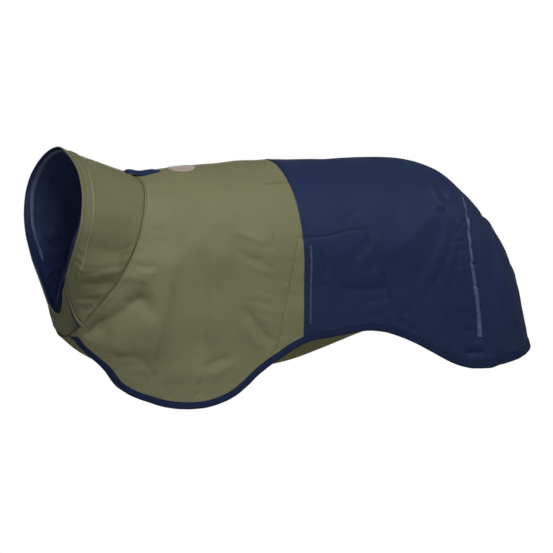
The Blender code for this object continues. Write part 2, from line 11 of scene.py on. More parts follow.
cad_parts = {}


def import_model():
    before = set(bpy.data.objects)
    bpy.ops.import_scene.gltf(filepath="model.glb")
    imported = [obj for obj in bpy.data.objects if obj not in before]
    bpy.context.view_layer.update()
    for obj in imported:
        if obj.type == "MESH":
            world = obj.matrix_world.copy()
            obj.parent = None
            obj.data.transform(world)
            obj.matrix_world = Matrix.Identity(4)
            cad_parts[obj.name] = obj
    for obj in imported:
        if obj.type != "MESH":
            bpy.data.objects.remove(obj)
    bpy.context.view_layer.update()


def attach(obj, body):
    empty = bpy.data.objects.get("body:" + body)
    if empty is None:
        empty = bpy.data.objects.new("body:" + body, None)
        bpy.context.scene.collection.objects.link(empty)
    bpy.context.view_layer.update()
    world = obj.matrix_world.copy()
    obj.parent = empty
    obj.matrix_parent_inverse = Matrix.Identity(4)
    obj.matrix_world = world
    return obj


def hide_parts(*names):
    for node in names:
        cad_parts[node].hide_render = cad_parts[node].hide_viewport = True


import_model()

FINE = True

MM = 0.001
ORIGIN = np.array((0.0, 0.0, -3.9))
CLOTH = 1.2            # wall of the outer cloth
LINING = 0.8
LATTICE = 2.2 if FINE else 4.0
BELLY_LATTICE = 3.6 if FINE else 7.0
TAPE_WIDTH = 4.3
BIND_WIDTH = 8.0
CREASE = 1.0            # share of the listed depths that the creases get
MID_SEAM = 192.7
OVERLAP = 0.12
UNDERLAP_INSET = 4.3

#   x       z       lean    half    drop    foot   foot_half rounded
BODY = np.array([
 (-200.0,   -5.5,  -25.6,   75.0,  100.0,  208.0,   4.0, 1.00),
 (-177.0,   -3.4,  -27.5,   79.0,  102.0,  222.0,  16.0, 0.95),
 (-139.0,   -1.2,  -25.0,   86.0,  106.0,  262.0,  52.0, 0.70),
 ( -89.0,   -0.3,  -14.5,   94.0,  108.0,  300.0,  84.0, 0.25),
 ( -42.0,    0.1,   -6.0,   99.0,  107.0,  300.0,  95.0, 0.05),
 (  -7.4,   -1.8,    0.0,  101.0,  106.0,  290.0,  96.0, 0.00),
 (  58.9,   -6.7,    0.5,  102.5,  106.0,  270.0,  97.0, 0.00),
 ( 127.9,  -10.1,   -1.0,  102.0,  108.0,  280.0,  97.0, 0.00),
 ( 182.6,  -16.8,   -3.0,  100.0,  112.0,  300.0,  97.0, 0.00),
 ( 222.1,  -33.0,   -6.0,   98.0,  116.0,  300.0,  96.0, 0.00),
 ( 252.6,  -59.4,  -11.5,   96.0,  118.0,  300.0,  95.0, 0.00),
 ( 289.9, -102.4,  -21.0,   95.0,  122.0,  280.0,  93.0, 0.00),
 ( 316.4, -143.3,  -30.5,   95.0,  126.0,  260.0,  93.0, 0.00),
 ( 332.6, -185.8,  -40.5,   95.0,  128.0,  240.0,  93.0, 0.00),
 ( 344.3, -231.7,  -53.0,   95.0,  128.0,  230.0,  93.0, 0.00),
 ( 355.0, -270.5,  -65.5,   95.0,  125.0,  220.0,  93.0, 0.00),
])
BELLY = np.array([
 (-287.4, -195.4,  154.0,   76.0,  108.0,  200.0,  76.0, 0.00),
 (-264.0, -217.5,  155.0,   84.0,  100.0,  190.0,  84.0, 0.00),
 (-240.0, -232.5,  160.0,   90.0,   90.0,  180.0,  90.0, 0.00),
 (-195.0, -249.0,  169.0,   93.0,   80.0,  170.0,  93.0, 0.00),
 (-140.0, -257.5,  176.0,   94.0,   75.0,  165.0,  94.0, 0.00),
 ( -85.0, -259.5,  180.0,   95.5,   75.0,  165.0,  95.5, 0.00),
 ( -35.0, -258.0,  180.0,   96.0,   75.0,  172.0,  95.0, 0.00),
 (   4.0, -253.5,  180.0,   97.4,   75.0,  170.0,  95.2, 0.00),
 (  45.0, -243.5,  180.0,   98.1,   74.0,  160.0,  95.9, 0.00),
 (  90.0, -231.0,  180.0,   98.0,   72.0,  148.0,  95.6, 0.00),
 ( 135.0, -220.0,  180.0,   97.5,   70.0,  137.0,  95.2, 0.00),
])
# Edge of the neck opening: x, z, half width
RIM = np.array([
 (-281.0,  37.0,  0.0), (-279.4,  30.0, 31.5), (-280.8,  15.0, 64.5), (-284.3,   0.0, 83.0),
 (-288.6, -17.0, 94.5), (-292.8, -35.0, 98.3), (-297.1, -56.0, 94.3), (-300.2, -79.0, 83.5),
 (-300.8,-101.0, 68.0), (-300.3,-117.0, 53.5), (-299.2,-130.0, 38.5), (-297.0,-143.0, 22.0),
 (-295.0,-151.0,  9.0), (-294.5,-154.0,  0.0),
])
# Neck seam on the body: share of the half ring from the spine, distance along the spine
NECK_SEAM = np.array([(0, 8), (0.05, 12.3), (0.1, 15.6), (0.2, 17), (0.33, 19.6), (0.42, 21),
                      (0.5, 19.8), (0.6, 15.5), (0.7, 8.0), (0.8, 3.5), (0.9, 4.0), (1.0, 5.0)], float)
# Front edge of the near collar end: share of the height, share of the half ring
COLLAR_END = np.array([(0, .817), (.24, .826), (.52, .819), (.80, .785), (.93, .752), (1.0, .715)])
NECK_CORNER = 0.912
# Hem of one half in the flat pattern plane: p, q
HEM = np.array([
 (-303.0, -244.0), (-297.5, -250.0), (-286.0, -259.5), (-273.0, -271.0), (-264.0, -284.0),
 (-257.0, -293.5), (-245.5, -302.0), (-223.0, -312.5), (-196.0, -323.0), (-172.0, -328.0),
 (-152.0, -329.5), (-128.0, -327.0), (-105.0, -319.5), ( -89.0, -309.5), ( -72.0, -296.5),
 ( -57.0, -288.0), ( -42.0, -281.5), ( -29.0, -275.0), ( -13.0, -268.5), (   3.0, -264.5),
 (  24.0, -263.0), (  43.0, -262.0), (  61.0, -260.5), (  81.0, -260.5), ( 102.0, -264.5),
 ( 123.0, -272.5), ( 142.0, -281.5), ( 168.0, -296.0), ( 187.0, -307.0), ( 196.3, -311.8),
 ( 202.0, -314.0), ( 207.4, -315.2), ( 213.7, -314.4), ( 221.9, -311.2), ( 234.4, -305.9),
 ( 249.4, -300.7), ( 265.5, -296.3), ( 281.4, -292.4), ( 296.0, -289.0), ( 310.0, -285.4),
 ( 322.7, -281.8), ( 335.3, -278.0),
])
REAR_TAPE = np.array([(230, -96), (227, -112), (223, -130), (220, -151), (218.5, -168),
                      (218, -187), (219.5, -208), (221.5, -229), (222.5, -249), (222, -277)], float)
SIDE_TAPE = np.array([(2.0, -145.0), (1.6, -178.0), (1.2, -211.0), (0.8, -243.0)])
PATCH_AT, PATCH_RADIUS = 73.0, 17.0
# Half outline of the flap over the lead opening: distance along the spine, arc from the spine
FLAP = np.array([(11.5, 9.8), (25.0, 9.3), (34.0, 7.8), (41.5, 5.2), (47.0, 0.0)])
COLLAR_TAPE_IN = 17.0
COLLAR_TAPE_END = 0.66
LINING_TAPE = np.array([(0, 5.0), (.2, 5.5), (.36, 7.4), (.43, 7.8), (.51, 10.3), (.59, 12.6), (.66, 18.0), (.70, 22.0)])
BELLY_EDGE = np.array([(0.0, 21.0), (26.0, 27.0), (55.0, 33.0), (110.0, 37.0), (160.0, 43.0),
                       (200.0, 52.0), (232.0, 66.0), (250.0, 84.0), (259.0, 104.0), (266.0, 134.0),
                       (273.0, 168.0), (283.0, 215.0), (289.0, 222.0), (330.0, 216.0), (374.0, 208.0),
                       (384.0, 201.0), (402.0, 162.0), (418.0, 124.0), (430.0, 92.0), (437.0, 52.0), (441.0, 0.0)])
RIDE = (8.0, 0.0, 12.0)      # the right front lobe rides up a little
# Sewn lines in the pattern plane: the short tuck in the yoke and the inner patch behind the front legs
TUCK = np.array([(-41.0, -58.0), (-25.0, -57.0), (-8.5, -57.5)])
INNER_TOP = np.array([(-15.0, -135.0), (11.0, -136.0), (33.0, -136.0), (56.0, -132.0), (80.0, -134.0)])
INNER_REAR = np.array([(80.0, -134.0), (82.0, -153.0), (93.0, -168.0), (97.0, -185.0), (104.0, -207.0),
                       (111.0, -229.0), (120.0, -247.0), (123.0, -262.0)])
INNER_FRONT = np.array([(-15.0, -135.0), (-19.0, -148.0), (-27.0, -184.0), (-35.0, -219.0), (-47.0, -272.0)])
REAR_CHANNEL = np.array([(221.0, -96.0), (213.0, -130.0), (208.0, -168.0), (208.0, -208.0), (211.0, -249.0), (212.0, -300.0)])

# Creases of the left side in the pattern plane: start, middle, end, width to the left and
# to the right of the way along, depth with down as positive, share of a sharp line in the middle
FOLDS = np.array([
 (-215.2, -173.4, -253.8, -192.3, -294.3, -233.6, 13, 13, 9.4, 0.6),
 (-257.2, -148.7, -238.4, -148.1, -220.4, -159.2, 12, 5, -1.8, 0.6),
 (-269.3, -195.9, -283, -211.7, -298.3, -232.1, 2.5, 2.5, 1.8, 0.4),
 (-276, -211.9, -283.1, -222.2, -288.2, -234, 2.2, 2.2, 1.5, 0.4),
 (-265.1, -199.3, -280, -217.5, -292.3, -234.1, 2.5, 2.5, -1, 0.4),
 (-212, -197.5, -238.9, -223.3, -269.5, -255.3, 18, 30, -3.6, 0.1),
 (-191.5, -107.7, -205, -188, -225, -282, 16, 30, -8.6, 0.55),
 (-150.5, -113, -150.3, -193.1, -152.7, -284.3, 10, 17, 4.2, 0.15),
 (-133.3, -111.2, -136.4, -194.6, -138.5, -270.7, 9, 10, -1.9, 0.15),
 (-116.8, -92.9, -125.9, -148.8, -129, -233.5, 8, 9, 1.7, 0.2),
 (-102.1, -82.2, -115.2, -124, -120, -159.8, 8, 7, -1.4, 0.2),
 (-113.7, -113.3, -86.6, -123.6, -58.2, -139.8, 9, 5, -2, 0.7),
 (-111.6, -131.9, -84.9, -151.1, -62.8, -154, 7, 5, 2, 0.5),
 (-68, -134.8, -59.6, -139.6, -52.3, -136.9, 4, 4, 1.1, 0.3),
 (-74.3, -90.7, -57, -105.4, -53.9, -137.9, 3, 4, -1.3, 0.8),
 (-67, -86.2, -49.7, -104.1, -47.9, -136.3, 3, 3, 0.8, 0.5),
 (-90.4, -155.4, -68.3, -160.9, -48.3, -168.3, 4, 3, 0.53625, 0.5),
 (-86.8, -168.1, -68.6, -175.5, -49.6, -186.9, 4, 3, 0.495, 0.5),
 (-82.7, -183.6, -68.8, -192.8, -48.6, -202.9, 4, 3, 0.45375, 0.5),
 (-99.1, -201.3, -74.6, -206.8, -48.3, -218.1, 4, 3, 0.53625, 0.5),
 (-84.3, -218.9, -65.6, -223.3, -46.9, -232, 4, 3, 0.4125, 0.5),
 (-75.6, -232.8, -62, -239.2, -47.9, -244.6, 3.5, 3, 0.37125, 0.5),
 (-66.6, -248, -55.9, -252.8, -47.6, -256.1, 3, 3, 0.33, 0.5),
 (-88.1, -163.1, -68.6, -168.1, -51.5, -176.5, 3, 3, -0.33, 0.5),
 (-89.6, -196.3, -71.9, -199.6, -51.6, -208.7, 3, 3, -0.37125, 0.5),
 (-82.4, -212.4, -68.2, -216.8, -49.6, -224.2, 3, 3, -0.28875, 0.5),
 (-99.3, -204.9, -72.6, -238.3, -48.7, -267.5, 6, 8, 2.6, 0.6),
 (-105, -222.6, -81.9, -249, -61.8, -269.5, 6, 8, -1.2, 0.4),
 (-262.9, -259.5, -241, -251, -215.3, -275.8, 6, 5, 1.2, 0.5),
 (-251.5, -278.8, -233, -270.4, -217.3, -288.7, 5, 6, -0.9, 0.3),
 (-214.3, -270.8, -212.3, -289.3, -212.5, -308.3, 2.5, 3, 1.6, 0.5),
 (-204.1, -299, -189.1, -295, -170.3, -304, 7, 11, 1, 0.3),
 (-167.7, -305, -145.6, -301, -122.7, -308, 7, 11, 0.8, 0.3),
 (-155.2, -291.6, -152.3, -304.8, -155.8, -317.4, 3, 3, 1.4, 0.5),
 (-152.7, -281.8, -131.6, -273.1, -106.8, -271.9, 5, 9, 1.7, 0.5),
 (-157.8, -258.7, -155.2, -271.5, -159.2, -286.1, 4, 4, 1, 0.4),
 (-141.9, -293.4, -122.6, -283.9, -98.4, -279.5, 6, 6, -1.2, 0.3),
 (-269, -243, -257.5, -251.1, -246, -246.1, 4, 4, 0.8, 0.4),
 (-238.7, -130.1, -226.2, -136.3, -210.2, -135.5, 3.5, 3.5, 1.2, 0.5),
 (-237, -140.6, -224, -144.4, -207.9, -144.9, 4, 4, -1, 0.4),
 (-219.3, -90.4, -209.5, -95.6, -193.1, -95.8, 4, 4, 0.8, 0.4),
 (-197.4, -48.4, -180.7, -60.7, -157.1, -69.3, 8, 8, -0.8, 0.3),
 (172.2, -112.1, 138, -146, 97.6, -171.3, 12, 14, -3, 0.6),
 (183.3, -119.2, 166.1, -166.3, 127.2, -217.3, 7, 12, 1.955, 0.5),
 (191.6, -122.1, 175.5, -173.1, 135.4, -230.6, 5, 6, -0.7735, 0.6),
 (199.7, -125.1, 184.5, -177.2, 148.9, -232.7, 5, 5, 1.275, 0.6),
 (205.3, -133.1, 191.2, -182.6, 166.3, -238.1, 5, 5, -0.765, 0.5),
 (207.7, -143.4, 196.7, -190.4, 184.3, -231, 4, 5, 1.02, 0.5),
 (188.3, -231.1, 192.7, -263.5, 196.9, -298.6, 4, 4, 1.6, 0.5),
 (182.7, -72.2, 183.2, -96, 193.4, -120.9, 3, 3, -3.04, 0.8),
 (201, -57.8, 198.3, -84.4, 201.2, -108.4, 3, 4, 3.42, 0.7),
 (213.9, -57.3, 209.1, -82.3, 207.2, -103.2, 3, 3, -2.28, 0.6),
 (163.2, -87.4, 168.4, -105.2, 178.9, -113.8, 3, 4, 1.9, 0.5),
 (172.9, -114.8, 181.2, -111.1, 190.2, -116.7, 2.5, 2.5, -2.28, 0.6),
 (145.7, -70.5, 161.3, -67.6, 173.7, -82.1, 5, 5, 1.2, 0.4),
 (147.2, -54.8, 145.6, -84.1, 136, -103.8, 5, 5, 1.2, 0.4),
 (51.6, -122.6, 62.9, -113.5, 78, -107.1, 3, 3, 0.9, 0.4),
 (80.4, -143.9, 68.1, -153.8, 53.8, -171, 6, 6, 0.9, 0.5),
 (90.3, -138.7, 96.4, -156.3, 104.8, -172.1, 3, 3, -1.2, 0.5),
 (92.8, -176.1, 82.4, -182.9, 70.6, -195.6, 4, 4, 0.9, 0.5),
 (32.3, -197.7, 71.8, -208.9, 112.5, -206, 5, 14, 2.3, 0.6),
 (41.4, -215.1, 74.9, -218.9, 110.9, -218.4, 5, 5, -0.4, 0.3),
 (12, -152.8, 20.5, -172.6, 18, -191.2, 4, 4, 1.2, 0.5),
 (22.7, -153.9, 30.4, -169.7, 28.5, -189.8, 4, 4, -0.6, 0.4),
 (5.6, -197.3, 18.2, -197.6, 32.3, -195.2, 3, 3, 0.72, 0.5),
 (62.1, -228.5, 89.3, -224, 113.5, -221.1, 4, 4, 0.9, 0.5),
 (68.4, -247.4, 95.2, -241.3, 119, -235.6, 4, 4, 0.8, 0.5),
 (116.2, -226.5, 127.1, -242.6, 146.7, -251.9, 4, 4, 0.9, 0.5),
 (119.1, -249.7, 131.9, -258.7, 144.4, -272.4, 3, 3, 1.4, 0.6),
 (155.4, -217.1, 137.9, -234.5, 122, -250, 5, 5, 1, 0.4),
 (203.5, -298.5, 214.2, -297.4, 224.1, -293.3, 3, 3, 3, 0.6),
 (204.1, -289.2, 215.9, -286, 226.9, -284.6, 3, 3, -1, 0.4),
 (206.7, -305.2, 215.2, -302.6, 224.7, -297.5, 2.5, 2.5, -0.8, 0.4),
 (262, -128, 262, -176, 255, -234, 17, 9, -4.6, 0.45),
 (271.9, -147.4, 272.8, -183.7, 264.6, -232.2, 6, 7, 1.2, 0.6),
 (283.3, -165.7, 282.6, -200, 270.6, -238, 5, 5, -0.6, 0.4),
 (232.3, -231.8, 233.3, -256.4, 229.4, -286.5, 4, 4, 0.8, 0.4),
 (253.7, -232.3, 253.9, -258.7, 250.5, -284.5, 4, 4, 2.21, 0.4),
 (267.1, -246.4, 269.3, -264.7, 269.7, -282.1, 3, 3, 1.768, 0.4),
 (5.5, -147.2, 20.3, -163.8, 23.5, -194.4, 6, 5, 1.5, 0.4),
 (84.4, -143.1, 72.6, -159.1, 48.5, -171.6, 4, 7, 1.3, 0.5),
 (135.3, -62.1, 128.6, -100.6, 114.2, -128, 7, 8, 0.9, 0.3),
 (56.5, -180, 76.1, -191.2, 102.8, -187.4, 5, 6, -0.8, 0.3),
 (171.8, -233.4, 186, -263.2, 194, -289.9, 4, 4, 1.3, 0.5),
 (129.9, -235.2, 154.7, -249.8, 176.5, -253.7, 5, 6, 0.8, 0.4),
 (240, -108, 216, -133.4, 200.1, -145.5, 3, 3, 1, 0.4),
 (225.8, -146.3, 208.3, -156, 185.3, -156.1, 3, 3, 0.9, 0.4),
 (223.8, -184.2, 204.8, -188.3, 181, -182.3, 3, 3, 0.9, 0.4),
 (223.6, -219.1, 209.9, -221.6, 192.2, -218.5, 3, 3, 1, 0.4),
 (273.8, -141, 261.2, -184.2, 267.1, -227.3, 4, 8, 0.7, 0.7),
 (-246.9, -176.8, -258.4, -200.8, -273.7, -226.9, 9, 8, -1.6, 0.4),
 (-277.8, -198.9, -286, -216.5, -294.3, -232, 2.5, 2.5, 1.2, 0.5),
 (-83.8, -94.2, -70.6, -88.5, -57.8, -84.9, 3, 3, 0.7, 0.4),
 (-179.8, -107.4, -163.1, -105.5, -142.6, -116.9, 8, 6, 1, 0.3),
 (-228, -273.8, -222.4, -285.5, -223.9, -301.7, 3, 3, 0.9, 0.4),
 (213, -142, 220, -144, 228, -146, 2, 2, 2.2, 0.5),
 (211, -183, 218.5, -185, 226.5, -187, 2, 2, 2.2, 0.5),
 (217, -119, 225, -121, 231, -122, 1.8, 1.8, 1.1, 0.5),
 (212, -163, 219, -165, 226, -166, 1.8, 1.8, 1, 0.5),
 (213, -212, 220, -213, 227, -215, 1.8, 1.8, 1.3, 0.5),
 (214, -240, 222, -241, 229, -243, 1.8, 1.8, 1, 0.5),
], float)
# Folds across the spine of the rump: distance along the spine, half length, width, depth
ACROSS = np.array([(511.0, 52.0, 7.0, 2.2), (524.0, 60.0, 9.0, -1.2), (581.0, 58.0, 6.0, 2.8), (598.0, 66.0, 10.0, -1.4)])

# Creases of the collar's left half: distance round from the middle behind and height over the seam, then as above
COLLAR_FOLDS = np.array([
 (182.3, 55.8, 167.5, 31.6, 147.8, 2.2, 4.6, 4.6, 1.488, 0.5),
 (181.6, 37.2, 166.3, 19, 154.1, 1.3, 3.45, 3.45, -0.744, 0.5),
 (201.6, 42.2, 185.9, 20.5, 169.8, 3, 5.75, 6.9, 2.232, 0.5),
 (215.5, 27.7, 198.6, 13.4, 184.7, 3.7, 3.45, 3.45, -0.93, 0.5),
 (228.8, 29.5, 214.3, 18.8, 196.7, 6.5, 3.45, 3.45, 1.116, 0.6),
 (232, 27, 217.5, 17.7, 208.1, 6.3, 2.3, 2.3, -0.992, 0.6),
 (230.8, 18.7, 221.9, 9.1, 210.8, 3.8, 3.45, 3.45, 0.992, 0.5),
 (228.6, 6.8, 221.9, 2.7, 215.1, 1.4, 2.3, 2.3, -0.62, 0.5),
 (116.3, 76.7, 102.8, 49.7, 97.7, 12.2, 16, 14, -2, 0.7),
 (148.2, 54.7, 143.1, 23.5, 123.1, 6.5, 8, 8, 1.2, 0.3),
 (136.7, 15.6, 129.9, 9.7, 121.8, 3.6, 2.5, 2.5, 0.8, 0.5),
 (148.2, 16.9, 140.8, 10.1, 133.3, 2.5, 2.5, 2.5, 0.8, 0.5),
 (108.3, 81.7, 91.4, 57.5, 78.7, 24.7, 10, 10, 0.8, 0.3),
 (188, 60, 171, 33, 151, 1, 25, 15, -6.2, 0.35),
 (196, 50, 180, 40, 172, 24, 3, 4, 0.9, 0.5),
 (222, 22, 214, 24, 201, 16, 2.5, 3.5, 0.9, 0.5),
], float)
# Puckers where the collar's tape is gathered: share of the half ring, share of the height, lift
PUCKERS = np.array([(.545, .862, .8), (.585, .845, 1.2), (.622, .822, 1.4), (.650, .792, 1.2),
                    (-.55, .86, .8), (-.59, .845, 1.1), (-.632, .815, 1.1)])
# Creases of the lining, seen through the neck opening
LINING_FOLDS = np.array([
 (-0.360, 0.86,-0.520, 0.30,  4,  9.0,  8,  1.8),
 (-0.300, 0.80,-0.420, 0.26,  4,  8.0, 10, -1.4),
 (-0.480, 0.78,-0.560, 0.34,  3,  6.0,  7,  1.2),
 (-0.180, 0.66,-0.280, 0.30,  3, 10.0, 10,  1.2),
 (-0.600, 0.60,-0.620, 0.20,  2,  6.0,  6,  1.0),
 ( 0.350, 0.80, 0.480, 0.30, -4,  9.0,  9,  1.4),
], float)


def curve(xk, yk, x):
    """smooth interpolation through a table with uneven steps"""
    xk, yk, x = np.asarray(xk, float), np.asarray(yk, float), np.asarray(x, float)
    one = yk.ndim == 1
    if one:
        yk = yk[:, None]
    h = np.diff(xk)
    d = np.diff(yk, axis=0) / h[:, None]
    m = np.empty_like(yk)
    m[0], m[-1] = d[0], d[-1]
    m[1:-1] = (d[:-1] * h[1:, None] + d[1:] * h[:-1, None]) / (h[:-1] + h[1:])[:, None]
    i = np.clip(np.searchsorted(xk, x, side='right') - 1, 0, len(h) - 1)
    t = ((x - xk[i]) / h[i])[..., None]
    hh = h[i][..., None]
    r = (yk[i] * (1 + 2 * t) * (1 - t) ** 2 + m[i] * hh * t * (1 - t) ** 2
         + yk[i + 1] * t * t * (3 - 2 * t) + m[i + 1] * hh * t * t * (t - 1))
    return r[..., 0] if one else r


def smooth(x):
    x = np.clip(x, 0.0, 1.0)
    return x * x * (3 - 2 * x)


class Hull:
    """surface of rings along a line on the middle plane; a: distance along it, v: arc from it, signed"""
    STATIONS, STEP, REACH = 961, 0.75, 440.0

    def __init__(self, table):
        k = np.concatenate([[0], np.cumsum(np.hypot(np.diff(table[:, 0]), np.diff(table[:, 1])))])
        rows = curve(k, table, np.linspace(0, k[-1], self.STATIONS))
        self.along = np.concatenate([[0], np.cumsum(np.hypot(np.diff(rows[:, 0]), np.diff(rows[:, 1])))])
        self.x, self.z, self.lean = rows[:, 0], rows[:, 1], np.radians(rows[:, 2])
        vg = np.arange(int(self.REACH / self.STEP) + 1) * self.STEP
        self.depth = np.empty((self.STATIONS, len(vg)))
        self.width = np.empty((self.STATIONS, len(vg)))
        self.end = np.empty(self.STATIONS)
        f = np.linspace(0, math.pi / 2, 240)
        tau = np.linspace(0, 1, 240)[1:]
        for i, (half, drop, foot, fh, rd) in enumerate(rows[:, 3:8]):
            rd = min(max(rd, 0.0), 1.0)
            p = tau * math.pi / 2
            y = np.concatenate([half * np.sin(f),
                                rd * (fh + (half - fh) * np.cos(p)) + (1 - rd) * (half - (half - fh) * tau ** 2)])
            h = np.concatenate([drop * (1 - np.cos(f)),
                                drop + (foot - drop) * (rd * np.sin(p) + (1 - rd) * tau)])
            arc = np.concatenate([[0], np.cumsum(np.hypot(np.diff(y), np.diff(h)))])
            self.end[i] = arc[-1]
            more = (self.REACH + 5 - arc[-1]) / (arc[-1] - arc[-2])
            y = np.append(y, y[-1] + (y[-1] - y[-2]) * more)
            h = np.append(h, h[-1] + (h[-1] - h[-2]) * more)
            arc = np.append(arc, self.REACH + 5)
            self.width[i] = np.interp(vg, arc, y)
            self.depth[i] = np.interp(vg, arc, h)
        self.total = self.along[-1]
        self.d0 = (self.x[1] - self.x[0], self.z[1] - self.z[0])
        self.d1 = (self.x[-1] - self.x[-2], self.z[-1] - self.z[-2])

    def line(self, a):
        """the middle line, run on straight past its ends"""
        a = np.asarray(a, float)
        p = np.stack([np.interp(a, self.along, self.x), np.interp(a, self.along, self.z)], -1)
        for over, d in ((np.minimum(a, 0), self.d0), (np.maximum(a - self.total, 0), self.d1)):
            n = math.hypot(*d)
            p = p + over[..., None] * np.array([d[0] / n, d[1] / n])
        return p

    def down(self, a):
        lean = np.interp(a, self.along, self.lean)
        return np.stack([np.sin(lean), -np.cos(lean)], -1)

    def point(self, a, v, side=-1):
        a, v = np.asarray(a, float), np.asarray(v, float)
        side = side * np.where(v < 0, -1.0, 1.0)
        v = np.abs(v)
        fi = np.clip(np.interp(a, self.along, np.arange(self.STATIONS)), 0, self.STATIONS - 1.000001)
        i = fi.astype(int)
        t = fi - i
        fv = np.clip(v / self.STEP, 0, self.depth.shape[1] - 1.000001)
        j = fv.astype(int)
        w = fv - j

        def grid(g):
            return (g[i, j] * (1 - t) + g[i + 1, j] * t) * (1 - w) + (g[i, j + 1] * (1 - t) + g[i + 1, j + 1] * t) * w
        at = self.line(a) + grid(self.depth)[..., None] * self.down(a)
        return np.stack([at[..., 0], side * grid(self.width), at[..., 1]], -1)

    def flat(self, a, v):
        return self.line(a) + np.asarray(v, float)[..., None] * self.down(a)

    def unflat(self, p):
        p = np.asarray(p, float)
        lo = np.full(p.shape[:-1], -8.0)
        hi = np.full(p.shape[:-1], self.total + 8.0)

        def side(a):
            q = p - self.line(a)
            d = self.down(a)
            return q[..., 0] * d[..., 1] - q[..., 1] * d[..., 0]
        sign = np.sign(side(hi) - side(lo))
        for _ in range(38):
            m = (lo + hi) / 2
            low = side(m) * sign < 0
            lo = np.where(low, m, lo)
            hi = np.where(low, hi, m)
        a = (lo + hi) / 2
        return a, ((p - self.line(a)) * self.down(a)).sum(-1)


def resample(p, step, closed=False):
    p = np.asarray(p, float)
    if closed:
        p = np.vstack([p, p[:1]])
    k = np.concatenate([[0], np.cumsum(np.hypot(*np.diff(p, axis=0).T))])
    u = np.linspace(0, k[-1], max(1, int(round(k[-1] / step))) + 1)
    r = np.stack([np.interp(u, k, p[:, 0]), np.interp(u, k, p[:, 1])], -1)
    return r[:-1] if closed else r


def spline(p, step):
    """smooth line through the points of a table, in even steps"""
    p = np.asarray(p, float)
    k = np.concatenate([[0], np.cumsum(np.hypot(*np.diff(p, axis=0).T))])
    return resample(curve(k, p, np.linspace(0, k[-1], 40 * len(p))), step)


def inside(poly, pts):
    x, y = pts[:, 0], pts[:, 1]
    r = np.zeros(len(pts), bool)
    for (x0, y0), (x1, y1) in zip(poly, np.roll(poly, -1, axis=0)):
        if y0 != y1:
            r ^= ((y0 > y) != (y1 > y)) & (x < (x1 - x0) * (y - y0) / (y1 - y0) + x0)
    return r


def mesh_plane(outline, lines, h):
    """triangles inside an outline, cut along the given lines, with an even lattice between"""
    verts = [tuple(p) for p in outline]
    edges = [(i, (i + 1) % len(outline)) for i in range(len(outline))]
    for pts in lines:
        k = len(verts)
        verts += [tuple(p) for p in pts]
        edges += [(k + i, k + i + 1) for i in range(len(pts) - 1)]
    dense = []
    for i, j in edges:
        a, b = np.array(verts[i]), np.array(verts[j])
        n = max(1, int(np.hypot(*(b - a)) / (h * 0.4)))
        dense += [a + (b - a) * k / n for k in range(n)]
    tree = KDTree(len(dense))
    for i, p in enumerate(dense):
        tree.insert((p[0], p[1], 0.0), i)
    tree.balance()
    lo, hi = outline.min(0), outline.max(0)
    rows = []
    for r, y in enumerate(np.arange(lo[1] + h * 0.31, hi[1], h * 0.866)):
        x = np.arange(lo[0] + (h / 2 if r % 2 else 0.0), hi[0], h)
        rows.append(np.stack([x, np.full(len(x), y)], -1))
    grid = np.vstack(rows)
    grid = grid[inside(outline, grid)]
    grid = [p for p in grid if tree.find((p[0], p[1], 0.0))[2] > 0.6 * h]
    verts += [tuple(p) for p in grid]
    v, e, f, _, _, _ = delaunay_2d_cdt([Vector(p) for p in verts], edges, [], 1, 1e-4)
    v = np.array([tuple(p) for p in v])
    f = np.array([t for t in f if len(t) == 3], int)
    a, b, c = v[f[:, 0]], v[f[:, 1]], v[f[:, 2]]
    area = (b[:, 0] - a[:, 0]) * (c[:, 1] - a[:, 1]) - (b[:, 1] - a[:, 1]) * (c[:, 0] - a[:, 0])
    f[area < 0] = f[area < 0][:, ::-1]
    f = f[np.abs(area) > 1e-5]
    return v, f[inside(outline, v[f].mean(1))]


def crease(at, row, near=0.25):
    """height of one crease at the points: a bowed line with two unlike flanks, run out at both ends"""
    p0, pm, p1 = row[0:2], row[2:4], row[4:6]
    wa, wb, depth, sharp = row[6:10]
    u = np.linspace(0, 1, 9)[:, None]
    ctrl = 2 * pm - (p0 + p1) / 2
    line = p0 * (1 - u) ** 2 + ctrl * 2 * u * (1 - u) + p1 * u ** 2
    reach = 2.6 * max(wa, wb)
    on = (at[:, 0] > line[:, 0].min() - reach) & (at[:, 0] < line[:, 0].max() + reach) \
        & (at[:, 1] > line[:, 1].min() - reach) & (at[:, 1] < line[:, 1].max() + reach)
    h = np.zeros(len(at))
    if not on.any():
        return h
    q = at[on]
    best = np.full(len(q), 1e9)
    sign, run = np.zeros(len(q)), np.zeros(len(q))
    for i in range(8):
        d = line[i + 1] - line[i]
        n = math.hypot(*d)
        if n < 1e-6:
            continue
        t = np.clip(((q - line[i]) @ d) / (n * n), 0, 1)
        off = q - (line[i] + t[:, None] * d)
        r = np.hypot(off[:, 0], off[:, 1])
        c = r < best
        best[c] = r[c]
        sign[c] = np.sign(off[c] @ np.array([-d[1], d[0]]))
        run[c] = (i + t[c]) / 8
    w = np.where(sign > 0, wa, wb)
    x = best / w
    soft = np.exp(-x * x)
    cusp = np.exp(-(np.sqrt(best ** 2 + (0.22 * w) ** 2) - 0.22 * w) / (0.72 * w)) * smooth((2.6 - x) / 1.2)
    h[on] = -depth * ((1 - sharp) * soft + sharp * cusp) * smooth(run / near) * smooth((1 - run) / near)
    return h


